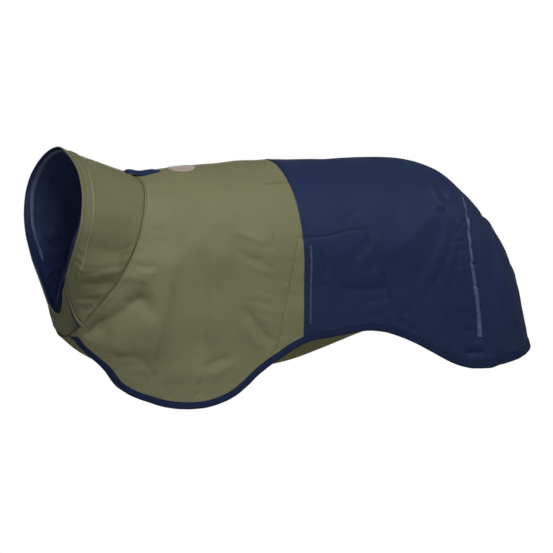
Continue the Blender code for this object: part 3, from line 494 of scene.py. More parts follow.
def gathers(line, step, reach, depth, width, seed, sides=(-1, 1), start=2.0):
    """short uneven puckers standing off a sewn line"""
    rng = np.random.default_rng(seed)
    k = np.concatenate([[0], np.cumsum(np.hypot(*np.diff(line, axis=0).T))])
    rows = []
    for on in sides:
        at = rng.uniform(0.3, 1.0) * step
        while at < k[-1] - 2:
            c = np.array([np.interp(at, k, line[:, 0]), np.interp(at, k, line[:, 1])])
            f = np.array([np.interp(min(at + 3, k[-1]), k, line[:, 0]), np.interp(min(at + 3, k[-1]), k, line[:, 1])]) \
                - np.array([np.interp(at - 3, k, line[:, 0]), np.interp(at - 3, k, line[:, 1])])
            f /= math.hypot(*f)
            n = np.array([-f[1], f[0]]) * on
            far = reach * rng.uniform(0.45, 1.25)
            slant = rng.uniform(-0.28, 0.28)
            a = c + n * start
            b = c + n * (start + far) + f * slant * far
            m = (a + b) / 2 + f * rng.uniform(-0.08, 0.08) * far
            w = width * rng.uniform(0.75, 1.35)
            rows.append([*a, *m, *b, w, w * rng.uniform(0.8, 1.3), depth * rng.uniform(0.4, 1.2) * (-1 if rng.random() < 0.25 else 1), 0.35])
            at += step * rng.uniform(0.6, 1.5)
    return np.array(rows)


def unlike(rows, seed, keep=0.8, shift=8.0):
    """similar creases for the other side, moved and weighted anew"""
    rng = np.random.default_rng(seed)
    rows = rows[rng.random(len(rows)) < keep].copy()
    rows[:, 0:6] += np.tile(rng.normal(0, shift, (len(rows), 2)), 3)
    rows[:, 2:4] += rng.normal(0, shift * 0.25, (len(rows), 2))
    rows[:, 6:8] *= rng.uniform(0.85, 1.25, (len(rows), 2))
    rows[:, 8] *= rng.uniform(0.55, 1.05, len(rows))
    return rows


def waves(x, y, terms, seed):
    """gentle uneven ripple from a few crossing waves: terms of (wavelength, height)"""
    rng = np.random.default_rng(seed)
    h = np.zeros_like(x)
    for length, height in terms:
        for _ in range(4):
            f = rng.uniform(0, 2 * math.pi)
            k = 2 * math.pi / (length * rng.uniform(0.75, 1.35))
            h += height / 2 * np.sin(k * (x * math.cos(f) + y * math.sin(f)) + rng.uniform(0, 6.28))
    return h


def to_line(at, line):
    """distance to a line, and how far along it, in millimetres"""
    best = np.full(len(at), 1e9)
    along = np.zeros(len(at))
    done = 0.0
    for a, b in zip(line[:-1], line[1:]):
        d = b - a
        n = math.hypot(*d)
        t = np.clip(((at - a) @ d) / (n * n), 0, 1)
        r = np.hypot(*(at - (a + t[:, None] * d)).T)
        on = r < best
        best[on] = r[on]
        along[on] = done + t[on] * n
        done += n
    return best, along


# ---------------------------------------------------------------- the body's surface
body = Hull(BODY)
neck_a = lambda c: curve(NECK_SEAM[:, 0], NECK_SEAM[:, 1], c)


def neck_seam(c):
    a = neck_a(c)
    return a, c * (np.interp(a, body.along, body.end) - 1.0)


neck_line = body.flat(*neck_seam(np.linspace(0, 1, 60)))
hem_ends = np.vstack([body.flat(*neck_seam(np.array([NECK_CORNER]))), HEM, body.flat(np.array([body.total]), np.array([0.0]))])
hem_k = np.concatenate([[0], np.cumsum(np.hypot(*np.diff(hem_ends, axis=0).T))])


def hem_line(step):
    return curve(hem_k, hem_ends, np.linspace(0, hem_k[-1], int(round(hem_k[-1] / step)) + 1))


NECK_GATHERS = body.flat(*neck_seam(np.linspace(0.12, 0.88, 80)))
MID_LINE = body.flat(np.full(60, MID_SEAM), np.linspace(12, 250, 60))
HEM_GATHERS = spline(HEM, 3.0)
ROWS = []
for seed in (101, 202):
    ROWS.append(np.vstack([
        gathers(spline(REAR_TAPE, 2.0), 9.0, 24.0, 0.85, 2.6, seed + 1, (-1,), 1.0),
        gathers(spline(REAR_TAPE, 2.0), 12.0, 9.0, 0.95, 1.5, seed + 12, (-1,), -4.5),
        gathers(spline(SIDE_TAPE, 2.0), 11.0, 8.0, 0.75, 1.5, seed + 13, (-1,), -4.0),
        gathers(spline(REAR_TAPE, 2.0), 11.0, 8.0, 0.45, 2.2, seed + 2, (1,), 3.0),
        gathers(spline(REAR_CHANNEL, 2.0), 12.0, 15.0, 0.50, 2.8, seed + 3, (-1,), 1.5),
        gathers(spline(SIDE_TAPE, 2.0), 12.0, 9.0, 0.40, 2.4, seed + 4, (-1, 1), 3.0),
        gathers(NECK_GATHERS, 10.0, 12.0, 0.50, 2.6, seed + 5, (1, -1), 2.5),
        gathers(MID_LINE, 13.0, 10.0, 0.30, 2.6, seed + 6, (-1, 1), 1.5),
        gathers(HEM_GATHERS, 13.0, 12.0, 0.60, 3.0, seed + 7, (-1, 1), 8.5),
        gathers(spline(INNER_REAR, 2.0), 12.0, 9.0, 0.35, 2.4, seed + 8, (-1, 1), 1.0),
        gathers(spline(INNER_FRONT, 2.0), 11.0, 10.0, 0.40, 2.4, seed + 9, (-1, 1), 1.0),
        gathers(spline(INNER_TOP, 2.0), 12.0, 8.0, 0.30, 2.2, seed + 10, (-1, 1), 1.0)]))
NEAR_ROWS = np.vstack([FOLDS * ([1] * 8 + [CREASE, 1]), ROWS[0]])
FAR_ROWS = np.vstack([unlike(FOLDS, 7) * ([1] * 8 + [CREASE, 1]), ROWS[1]])
SEWN = [(spline(TUCK, 3.0), 2.2, 0), (spline(INNER_TOP, 4.0), 1.1, 0), (spline(INNER_REAR, 4.0), 1.1, 0),
        (spline(INNER_FRONT, 4.0), 0.9, 0), (spline(REAR_CHANNEL, 4.0), 0.35, 0)]
HEM_COARSE = hem_line(6.0)
MESH_LINES = [spline(TUCK, 2.0), spline(INNER_TOP, 2.0)[6:-3], spline(INNER_REAR, 2.0)[3:-4], spline(INNER_FRONT, 2.0)[3:-4]]


def base(a, v, side):
    p = body.point(a, v, side)
    if side > 0:
        w = smooth((a - 8) / 50) * smooth((150 - a) / 55) * smooth((v - 170) / 110)
        p = p + w[:, None] * np.array(RIDE)
    return p


def base_normal(a, v, side):
    e = 0.8
    da = base(a + e, v, side) - base(a - e, v, side)
    dv = base(a, v + e, side) - base(a, v - e, side)
    n = np.cross(da, dv)
    n /= np.linalg.norm(n, axis=1)[:, None]
    return n * (1.0 if side > 0 else -1.0)


def relief(flat, a, v, side):
    """height of the cloth over its plain form: creases, sewn lines, puckers, ripple"""
    h = np.zeros(len(flat))
    s = -1 if side < 0 else 1
    off_spine = smooth(np.abs(v) / 30)
    for row in (NEAR_ROWS if s < 0 else FAR_ROWS):
        h += crease(flat, row)
    h *= off_spine
    for at, half, width, depth in ACROSS:
        h -= depth * np.exp(-((a - at + 0.10 * np.abs(v)) / width) ** 2) * smooth((half - np.abs(v)) / 28)
    # sewn lines lie in a fine groove with uneven puckers on both sides
    for line, depth, _ in SEWN:
        r, k = to_line(flat, line)
        near = r < 30
        if near.any():
            pull = waves(k[near], k[near] * 0 + 3.0, ((9.0, 0.22), (15.0, 0.20)), 11)
            h[near] += -depth * np.exp(-(r[near] / 1.25) ** 2) + pull * np.exp(-(r[near] / 8.0) ** 2) * (1 - np.exp(-(r[near] / 2.5) ** 2))
    # small gathers along the neck seam and the hem
    r, k = to_line(flat, neck_line)
    h += waves(k, k * 0 + 1.0, ((14.0, 0.28), (23.0, 0.30)), 5) * np.exp(-(r / 11.0) ** 2) * smooth((k - 20) / 60)
    h += 0.60 * np.exp(-((r - 3.0) / 2.8) ** 2) - 0.25 * np.exp(-((r - 8.5) / 3.0) ** 2)
    r, k = to_line(flat, HEM_COARSE)
    h += waves(k, k * 0 + 2.0, ((17.0, 0.22), (31.0, 0.30)), 7) * np.exp(-(r / 15.0) ** 2)
    # seam across the back: both edges roll in, with a soft ridge where the allowance lies under
    r = a - MID_SEAM
    h += -0.75 * np.exp(-(r / 0.9) ** 2) + 0.28 * np.exp(-((r - 4.0) / 2.6) ** 2) + 0.16 * np.exp(-((r + 4.0) / 2.6) ** 2)
    h += waves(np.abs(v), np.abs(v) * 0 + 4.0, ((16.0, 0.18),), 9) * np.exp(-(r / 9.0) ** 2)
    # ripple
    sy = np.abs(v) * (1 if s < 0 else 1.0)
    h += waves(a, sy + (0 if s < 0 else 700.0) * off_spine * 0, ((120.0, 0.35), (52.0, 0.22), (24.0, 0.09)), 21)
    h += waves(a, sy, ((70.0, 0.40),), 33 if s < 0 else 34) * off_spine
    return h


def skin(flat, side, lift=0.0):
    """points of the body's cloth at places of the pattern plane, moved out by lift; and the normals"""
    a, v = body.unflat(flat)
    v = np.where(np.abs(v) < 0.01, 0.0, v)
    s = float(side)
    p, n = base(a, v, s), base_normal(a, v, s)
    h = relief(flat, a, v, s)
    q = p + n * (h + lift)[:, None] if np.ndim(lift) else p + n * (h + lift)[:, None]
    q[v == 0.0, 1] = 0.0
    return q, n, a, v


# ---------------------------------------------------------------- materials
def nodes_of(name):
    m = bpy.data.materials.new(name)
    m.use_nodes = True
    t = m.node_tree
    b = t.nodes["Principled BSDF"]
    return m, t, b


def cloth(name, colour, rough, weave=0.5, pitch=0.55, vary=0.05, crinkle=0.25, sheen=0.0, specular=0.18, patches=1.6):
    """woven cloth: threads two ways, a fine crinkle, and a slight change of tone"""
    m, t, b = nodes_of(name)
    N, L = t.nodes, t.links
    uv = N.new("ShaderNodeUVMap")
    uv.uv_map = "cloth"
    scale = 0.31416 / (pitch / 100.0)
    bands = []
    for d in ('X', 'Y'):
        w = N.new("ShaderNodeTexWave")
        w.wave_type, w.bands_direction, w.wave_profile = 'BANDS', d, 'SIN'
        w.inputs["Scale"].default_value = scale
        w.inputs["Distortion"].default_value = 0.6
        w.inputs["Detail"].default_value = 0.0
        L.new(uv.outputs["UV"], w.inputs["Vector"])
        bands.append(w)
    mul = N.new("ShaderNodeMath")
    mul.operation = 'MULTIPLY'
    L.new(bands[0].outputs["Fac"], mul.inputs[0])
    L.new(bands[1].outputs["Fac"], mul.inputs[1])
    thread = N.new("ShaderNodeBump")
    thread.inputs["Strength"].default_value = weave
    thread.inputs["Distance"].default_value = 0.00006
    L.new(mul.outputs[0], thread.inputs["Height"])
    noise = N.new("ShaderNodeTexNoise")
    noise.inputs["Scale"].default_value = 9.0
    noise.inputs["Detail"].default_value = 3.0
    noise.inputs["Roughness"].default_value = 0.55
    L.new(uv.outputs["UV"], noise.inputs["Vector"])
    crink = N.new("ShaderNodeBump")
    crink.inputs["Strength"].default_value = crinkle
    crink.inputs["Distance"].default_value = 0.0012
    L.new(noise.outputs["Fac"], crink.inputs["Height"])
    L.new(thread.outputs["Normal"], crink.inputs["Normal"])
    L.new(crink.outputs["Normal"], b.inputs["Normal"])
    tone = N.new("ShaderNodeTexNoise")
    tone.inputs["Scale"].default_value = patches
    tone.inputs["Detail"].default_value = 2.0
    L.new(uv.outputs["UV"], tone.inputs["Vector"])
    ramp = N.new("ShaderNodeMapRange")
    ramp.inputs["From Min"].default_value = 0.3
    ramp.inputs["From Max"].default_value = 0.7
    ramp.inputs["To Min"].default_value = 1.0 - vary
    ramp.inputs["To Max"].default_value = 1.0 + vary
    L.new(tone.outputs["Fac"], ramp.inputs["Value"])
    mix = N.new("ShaderNodeVectorMath")
    mix.operation = 'SCALE'
    mix.inputs[0].default_value = colour
    L.new(ramp.outputs["Result"], mix.inputs["Scale"])
    L.new(mix.outputs["Vector"], b.inputs["Base Color"])
    rr = N.new("ShaderNodeMapRange")
    rr.inputs["To Min"].default_value = rough - 0.05
    rr.inputs["To Max"].default_value = rough + 0.05
    L.new(noise.outputs["Fac"], rr.inputs["Value"])
    L.new(rr.outputs["Result"], b.inputs["Roughness"])
    b.inputs["Specular IOR Level"].default_value = specular
    if sheen:
        b.inputs["Sheen Weight"].default_value = sheen
        b.inputs["Sheen Roughness"].default_value = 0.5
    m.diffuse_color = (*colour, 1.0)
    return m


OLIVE = (0.178, 0.178, 0.096)
NAVY = (0.0122, 0.0245, 0.0745)
M_OLIVE = cloth("olive_cloth", OLIVE, 0.60, crinkle=0.18)
# the collar is the yoke's olive cloth made darker: painted shade, for a collar turned down and away from the light
M_COLLAR_SHADED = cloth("olive_cloth_collar_painted_shade", (0.155, 0.155, 0.082), 0.60, crinkle=0.18)
M_NAVY = cloth("navy_cloth", NAVY, 0.56, crinkle=0.20, specular=0.15)
# the belly piece is the same olive cloth made darker and yellower: painted shade, for a piece that lies under the body
M_BELLY_SHADED = cloth("belly_cloth_painted_shade", (0.158, 0.160, 0.062), 0.66, crinkle=0.2)
M_INSIDE = cloth("inside_cloth", (0.012, 0.018, 0.046), 0.66, weave=0.4, pitch=0.7, crinkle=0.15)
M_LINING = cloth("collar_lining", (0.015, 0.0255, 0.078), 0.60, weave=0.4, pitch=0.7, crinkle=0.2)
M_BIND = cloth("binding", (0.0102, 0.0194, 0.0590), 0.60, weave=0.9, pitch=0.9, crinkle=0.3, specular=0.12)
M_TAPE = cloth("reflective_tape", (0.066, 0.093, 0.195), 0.45, weave=0.3, pitch=0.4, vary=0.30, crinkle=0.4, specular=0.4, patches=11.0)
M_TAPE_SIDE = cloth("reflective_tape_side", (0.044, 0.068, 0.145), 0.45, weave=0.3, pitch=0.4, vary=0.42, patches=13.0, crinkle=0.4, specular=0.35)
M_TAPE_IN = cloth("reflective_tape_inner", (0.060, 0.082, 0.165), 0.45, weave=0.3, pitch=0.4, vary=0.22, crinkle=0.3, specular=0.35, patches=10.0)
M_TONAL = cloth("tonal_tape", (0.184, 0.185, 0.108), 0.62, weave=0.3, pitch=0.4, vary=0.10, crinkle=0.1, specular=0.15)
M_PATCH = cloth("patch", (0.46, 0.365, 0.33), 0.55, weave=0.25, pitch=0.5, vary=0.08, crinkle=0.1)
M_THREAD_O = cloth("thread_olive", (0.085, 0.085, 0.045), 0.55, weave=0.2, crinkle=0.0)
M_THREAD_E = cloth("thread_collar_end", (0.045, 0.046, 0.028), 0.55, weave=0.2, crinkle=0.0)
M_THREAD_N = cloth("thread_navy", (0.008, 0.013, 0.036), 0.5, weave=0.2, crinkle=0.0)
M_THREAD_P = cloth("thread_patch", (0.30, 0.22, 0.19), 0.5, weave=0.2, crinkle=0.0)


# ---------------------------------------------------------------- mesh helpers
def world(p):
    return (np.asarray(p) - ORIGIN) * MM


def finish_mesh(name, v, faces, uv, mats, index, sharp=38.0):
    mesh = bpy.data.meshes.new(name)
    mesh.from_pydata([tuple(x) for x in world(v)], [], faces)
    layer = mesh.uv_layers.new(name="cloth")
    loops = np.empty(len(mesh.loops), int)
    mesh.loops.foreach_get("vertex_index", loops)
    layer.data.foreach_set("uv", (np.asarray(uv)[loops] / 100.0).astype(np.float32).ravel())
    for m in mats:
        mesh.materials.append(m)
    if index is not None:
        mesh.polygons.foreach_set("material_index", np.asarray(index, np.int32))
    mesh.polygons.foreach_set("use_smooth", np.ones(len(mesh.polygons), bool))
    mesh.update()
    mesh.set_sharp_from_angle(angle=math.radians(sharp))
    ob = bpy.data.objects.new(name, mesh)
    bpy.context.scene.collection.objects.link(ob)
    return ob


def shell(name, outer, inner, tri, uv, mats):
    """closed wall between an outer and an inner sheet of the same triangles"""
    tri = np.asarray(tri)
    used, inv = np.unique(tri, return_inverse=True)
    tri = inv.reshape(tri.shape)
    outer, inner, uv = outer[used], inner[used], uv[used]
    n = len(used)
    edges = np.vstack([tri[:, [0, 1]], tri[:, [1, 2]], tri[:, [2, 0]]])
    key = np.sort(edges, axis=1)
    _, first, count = np.unique(key, axis=0, return_index=True, return_counts=True)
    rim = edges[first[count == 1]]
    faces = [tuple(int(i) for i in t) for t in tri]
    faces += [tuple(int(i) + n for i in t[::-1]) for t in tri]
    faces += [(int(j), int(i), int(i) + n, int(j) + n) for i, j in rim]
    index = [0] * len(tri) + [min(1, len(mats) - 1)] * len(tri) + [0] * len(rim)
    return finish_mesh(name, np.vstack([outer, inner]), faces, np.vstack([uv, uv]), mats, index)


def tube(name, rings, uv, mats, closed_ends=True):
    """rings: (along, round, 3) points of a closed cross-section swept along a line"""
    n, k, _ = rings.shape
    faces = []
    for i in range(n - 1):
        for j in range(k):
            jj = (j + 1) % k
            faces.append((i * k + j, i * k + jj, (i + 1) * k + jj, (i + 1) * k + j))
    if closed_ends:
        faces.append(tuple(range(k - 1, -1, -1)))
        faces.append(tuple((n - 1) * k + j for j in range(k)))
    return finish_mesh(name, rings.reshape(-1, 3), faces, uv.reshape(-1, 2), mats, None, sharp=50.0)


def grid_shell(name, outer, inner, uv, mats, lined_from=None):
    """closed wall between two grids (rows, columns, 3); rows past lined_from get the second material outside too"""
    r, c, _ = outer.shape
    ids = np.arange(r * c).reshape(r, c)
    a, b, d, e = ids[:-1, :-1].ravel(), ids[:-1, 1:].ravel(), ids[1:, 1:].ravel(), ids[1:, :-1].ravel()
    n = r * c
    quads = np.stack([a, b, d, e], -1)
    back = quads[:, ::-1] + n
    loop = np.concatenate([ids[0, :-1], ids[:-1, -1], ids[-1, :0:-1], ids[:0:-1, 0]])
    nxt = np.roll(loop, -1)
    rim = np.stack([nxt, loop, loop + n, nxt + n], -1)
    faces = [tuple(int(i) for i in q) for q in np.vstack([quads, back, rim])]
    front_index = np.zeros(len(quads), int)
    if lined_from is not None:
        front_index[np.repeat(np.arange(r - 1), c - 1) >= lined_from] = 1
    index = list(front_index) + [min(1, len(mats) - 1)] * len(back) + [0 if lined_from is None else 1] * len(rim)
    p = np.vstack([outer.reshape(-1, 3), inner.reshape(-1, 3)])
    return finish_mesh(name, p, faces, np.vstack([uv.reshape(-1, 2)] * 2), mats, index)


def stitches(name, paths, mat, pitch=3.4, length=2.5, radius=0.32):
    """short raised threads along lines: paths of (points, normals)"""
    verts, faces, uv = [], [], []
    ring = [(math.cos(x), math.sin(x)) for x in np.linspace(0, 2 * math.pi, 7)[:-1]]
    for pts, nrm in paths:
        k = np.concatenate([[0], np.cumsum(np.linalg.norm(np.diff(pts, axis=0), axis=1))])
        n = int(k[-1] // pitch)
        if n < 1:
            continue
        for s in range(n):
            s0 = s * pitch + (pitch - length) / 2
            u = np.linspace(s0, s0 + length, 5)
            at = np.stack([np.interp(u, k, pts[:, i]) for i in range(3)], -1)
            nn = np.stack([np.interp(u, k, nrm[:, i]) for i in range(3)], -1)
            nn /= np.linalg.norm(nn, axis=1)[:, None]
            tt = np.gradient(at, axis=0)
            tt /= np.linalg.norm(tt, axis=1)[:, None]
            bb = np.cross(tt, nn)
            arch = np.sin(np.linspace(0, math.pi, 5))
            base_i = len(verts)
            for i in range(5):
                r = radius * (0.35 + 0.65 * arch[i])
                c = at[i] + nn[i] * (0.22 * arch[i] - 0.05)
                for x, y in ring:
                    verts.append(c + bb[i] * x * r + nn[i] * y * r * 0.8)
                    uv.append((u[i], x))
            for i in range(4):
                for j in range(6):
                    jj = (j + 1) % 6
                    o = base_i + i * 6
                    faces.append((o + j, o + jj, o + 6 + jj, o + 6 + j))
            faces.append(tuple(base_i + j for j in range(5, -1, -1)))
            faces.append(tuple(base_i + 24 + j for j in range(6)))
    return finish_mesh(name, np.array(verts), faces, np.array(uv), [mat], None, sharp=70.0)


def half_area(points, tri):
    a, b, c = points[tri[:, 0]], points[tri[:, 1]], points[tri[:, 2]]
    return float(np.linalg.norm(np.cross(b - a, c - a), axis=1).sum() / 2) * 1e-6


# ---------------------------------------------------------------- yoke and rear panel
neck_c = np.linspace(0, NECK_CORNER, int(270 / LATTICE))
neck_flat = body.flat(*neck_seam(neck_c))
hem_flat = hem_line(LATTICE)
spine_a = np.linspace(float(neck_a(0.0)), body.total, int(690 / LATTICE))
spine_a[np.abs(spine_a - MID_SEAM).argmin()] = MID_SEAM
outline = np.vstack([neck_flat[::-1][:-1], body.flat(spine_a, spine_a * 0)[:-1], hem_flat[::-1][:-1]])
mid_v = np.arange(0, 268.0, LATTICE)
mid_line = body.flat(np.full(len(mid_v), MID_SEAM), mid_v)
flat, tri = mesh_plane(outline, [mid_line] + [resample(l, LATTICE) for l in MESH_LINES], LATTICE)
a_, v_ = body.unflat(flat)
on_spine = np.abs(v_) < 0.05
tri = tri[~on_spine[tri].all(1)]
flat_s = flat.copy()
sheets = {}
for side in (-1, 1):
    q_, n_, _, _ = skin(flat_s, side, 0.0)
    sheets[side] = [(q_,), (q_ - n_ * CLOTH,)]
index = np.arange(len(flat)) + len(flat)
index[on_spine] = np.flatnonzero(on_spine)
outer = np.vstack([sheets[-1][0][0], sheets[1][0][0]])
inner = np.vstack([sheets[-1][1][0], sheets[1][1][0]])
for k in (outer, inner):
    k[:len(flat)][on_spine, 1] = 0.0
faces = np.vstack([tri, index[tri[:, ::-1]]])
both = np.vstack([flat, flat + (0, 1000.0)])
mid_a = (np.concatenate([a_, a_])[faces]).mean(1)
seam = np.abs(np.concatenate([a_, a_]) - MID_SEAM) < 0.05
e = 0.5
forward = np.vstack([base(a_ + e, v_, -1.0) - base(a_ - e, v_, -1.0), base(a_ + e, v_, 1.0) - base(a_ - e, v_, 1.0)])


def panel(name, mask, shift, mats):
    o, i = outer.copy(), inner.copy()
    o[seam] += forward[seam] * shift
    i[seam] += forward[seam] * shift
    ob = shell(name, o, i, faces[mask], both, mats)
    ob["cut_m2"] = half_area(o, faces[mask])
    return ob


front = mid_a < MID_SEAM
yoke = panel("yoke_cloth", front, -0.12, [M_OLIVE, M_INSIDE])
rear = panel("rear_cloth", ~front, 0.12, [M_NAVY, M_INSIDE])


# ---------------------------------------------------------------- strips on the body
def on_body(name, line, width, thick, side, mats, lift=0.28, edge_drop=0.35):
    """tape along a line of the pattern plane, its edges turned down to the cloth"""
    pts = resample(line, 2.0)
    g = np.gradient(pts, axis=0)
    g /= np.hypot(*g.T)[:, None]
    nrm = np.stack([-g[:, 1], g[:, 0]], -1)
    across = np.linspace(-0.5, 0.5, 7)
    rows_o, rows_i, uvs = [], [], []
    k = np.concatenate([[0], np.cumsum(np.hypot(*np.diff(pts, axis=0).T))])
    for x in across:
        at = pts + nrm * x * width
        round_off = edge_drop * (abs(x) * 2) ** 4
        rows_o.append(skin(at, side, lift + thick - round_off)[0])
        rows_i.append(skin(at, side, lift)[0])
        uvs.append(np.stack([k, np.full(len(k), x * width)], -1))
    o, i, uv = np.array(rows_o), np.array(rows_i), np.array(uvs)
    if side > 0:
        o, i, uv = o[::-1], i[::-1], uv[::-1]
    return grid_shell(name, o, i, uv, mats)


for side, word in ((-1, "left"), (1, "right")):
    t1 = on_body(f"rear_stripe_{word}", spline(REAR_TAPE, 2.0), TAPE_WIDTH, 0.5, side, [M_TAPE])
    t2 = on_body(f"side_stripe_{word}", spline(SIDE_TAPE, 2.0), TAPE_WIDTH - 1.0, 0.5, side, [M_TAPE_SIDE])
    for t, node in ((t1, f"rear_tape_{word}"), (t2, f"side_tape_{word}")):
        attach(t, "root")
        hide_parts(node)

# ---------------------------------------------------------------- hem binding
def hem_rings(side):
    pts = hem_line(2.4 if FINE else 5.0)
    g = np.gradient(pts, axis=0)
    g /= np.hypot(*g.T)[:, None]
    inward = np.stack([-g[:, 1], g[:, 0]], -1)
    end = body.flat(np.array([body.total - 1.0]), np.array([0.0]))[0] - pts[-1]
    turn = np.exp(-np.arange(len(pts))[::-1] / 4.0)[:, None]
    inward = inward * (1 - turn) + end / np.hypot(*end) * turn
    inward /= np.hypot(*inward.T)[:, None]
    k = np.concatenate([[0], np.cumsum(np.hypot(*np.diff(pts, axis=0).T))])
    swell = 0.10 * np.sin(k / 3.4) * np.sin(k / 11.0 + 1) + 0.08 * np.sin(k / 7.3)
    wide = BIND_WIDTH + 0.25 * np.sin(k / 37.0) + 0.15 * np.sin(k / 13.0 + 2)
    section = [(1.00, 0.25), (0.97, 0.62), (0.86, 0.84), (0.62, 0.98), (0.36, 1.02), (0.12, 0.98)]
    ring, uvs = [], []
    edge, n0, _, _ = skin(pts, side, -CLOTH / 2)
    up, _, _, _ = skin(pts + inward * 1.5, side, -CLOTH / 2)
    out = edge - up
    out /= np.linalg.norm(out, axis=1)[:, None]
    for b, h in section:
        at = pts + inward * (b * wide)[:, None]
        dip = 0.34 * math.exp(-((b - 0.86) / 0.06) ** 2)
        ring.append(skin(at, side, h - dip + swell * (0.4 + 0.6 * (1 - b)))[0])
        uvs.append(np.stack([k, (1 - b) * wide], -1))
    rad = CLOTH / 2 + 0.95
    for x in (60, 25, -10, -45, -75):
        r = math.radians(x)
        ring.append(edge + out * (rad * math.cos(r) * 1.05) + n0 * (rad * math.sin(r)))
        uvs.append(np.stack([k, wide + rad * (1.57 - r)], -1))
    for b, h in reversed(section):
        at = pts + inward * (b * wide * 0.98)[:, None]
        ring.append(skin(at, side, -CLOTH - h)[0])
        uvs.append(np.stack([k, 2 * wide - (1 - b) * wide + 6], -1))
    # and back along the faces of the panel that the strip is folded over
    for b in (0.98, 0.6, 0.2):
        ring.append(skin(pts + inward * (b * wide * 0.98)[:, None], side, -CLOTH - 0.10)[0])
        uvs.append(np.stack([k, 2 * wide + 12 - b * wide], -1))
    for x in (-70, 0, 70):
        r = math.radians(x)
        ring.append(edge + out * ((CLOTH / 2 + 0.12) * math.cos(r)) + n0 * ((CLOTH / 2 + 0.10) * math.sin(r)))
        uvs.append(np.stack([k, 2 * wide + 14 + k * 0], -1))
    for b in (0.2, 0.6, 0.98):
        ring.append(skin(pts + inward * (b * wide * 0.98)[:, None], side, 0.10)[0])
        uvs.append(np.stack([k, 2 * wide + 16 + b * wide], -1))
    return np.swapaxes(np.array(ring), 0, 1), np.swapaxes(np.array(uvs), 0, 1)


left_r, left_uv = hem_rings(-1)
right_r, right_uv = hem_rings(1)
left_r[-1, :, 1] = 0.0
rings = np.vstack([left_r, right_r[::-1][1:]])
ruv = np.vstack([left_uv, left_uv[-1, 0, 0] * np.array([2.0, 0]) + right_uv[::-1][1:] * np.array([-1.0, 1.0])])
binding = tube("hem_bind", rings, ruv, [M_BIND])

# ---------------------------------------------------------------- collar
cg = np.linspace(0, 1, 401)
seam_line = body.point(*neck_seam(cg), 1)
seam_line[0, 1] = seam_line[-1, 1] = 0.0
k_ = np.concatenate([[0], np.cumsum(np.sqrt((np.diff(RIM, axis=0) ** 2).sum(1)))])
kk = np.concatenate([-k_[3:0:-1], k_, 2 * k_[-1] - k_[-2:-5:-1]])
rim_table = np.vstack([RIM[3:0:-1] * (1, 1, -1), RIM, RIM[-2:-5:-1] * (1, 1, -1)])
rim = curve(kk, rim_table, np.linspace(0, k_[-1], 1500))
arc = np.concatenate([[0], np.cumsum(np.sqrt((np.diff(rim, axis=0) ** 2).sum(1)))])
rim_line = np.stack([np.interp(cg * arc[-1], arc, rim[:, i]) for i in (0, 2, 1)], -1)
rim_line[0, 1] = rim_line[-1, 1] = 0.0
height = np.linalg.norm(rim_line - seam_line, axis=1)
half_ring = np.linalg.norm(np.diff(seam_line, axis=0), axis=1).sum()


def tall(c):
    return np.interp(np.abs((np.asarray(c) + 1) % 2 - 1), cg, height)


def collar_end(t):
    return curve(COLLAR_END[:, 0], COLLAR_END[:, 1], np.clip(t, 0, 1))


def collar_flat_point(c, t):
    w = (c + 1) % 2 - 1
    q = np.abs(w)
    lo = np.stack([np.interp(q, cg, seam_line[:, i]) for i in range(3)], -1)
    hi = np.stack([np.interp(q, cg, rim_line[:, i]) for i in range(3)], -1)
    p = lo + (hi - lo) * t[..., None]
    p[..., 1] *= -np.where(w < 0, -1.0, 1.0)
    return p


def collar_base(c, t):
    e, et = 0.004, 0.01
    dc = collar_flat_point(c + e, t) - collar_flat_point(c - e, t)
    dt = collar_flat_point(c, t + et) - collar_flat_point(c, t - et)
    n = np.cross(dt, dc)
    n /= np.linalg.norm(n, axis=-1)[..., None]
    n = -n
    p = collar_flat_point(c, t)
    mid = np.array([p[..., 0].mean(), 0.0, p[..., 2].mean()])
    flip = np.sign(((p - mid) * n).sum(-1).mean())
    n = n * flip
    p = p - n * (smooth((-0.93 - c) / 0.22) * (UNDERLAP_INSET + 5.0 * smooth((0.45 - t) / 0.4)) - 1.3 * smooth((-1.19 - c) / 0.06))[..., None]
    return p, n


def collar_relief(c, t, rows, rim_side=True):
    at = np.stack([c * half_ring, t * tall(c)], -1).reshape(-1, 2)
    h = np.zeros(len(at))
    for row in rows:
        h += crease(at, row, near=0.2)
    h += waves(at[:, 0], at[:, 1], ((90.0, 0.45), (38.0, 0.18)), 51 if rim_side else 52)
    return h.reshape(c.shape)


mirrored = unlike(COLLAR_FOLDS, 17, 0.85, 4.0) * ([-1, 1, -1, 1, -1, 1, 1, 1, 1, 1])
mirrored[:, [6, 7]] = mirrored[:, [7, 6]]
COLLAR_ROWS = np.vstack([COLLAR_FOLDS, mirrored])
LINING_ROWS = np.array([[c0 * half_ring, t0 * 90, (c0 + c1) / 2 * half_ring + bow, (t0 + t1) / 2 * 85, c1 * half_ring, t1 * 80, wa, wb, depth, 0.4]
                        for c0, t0, c1, t1, bow, wa, wb, depth in LINING_FOLDS])


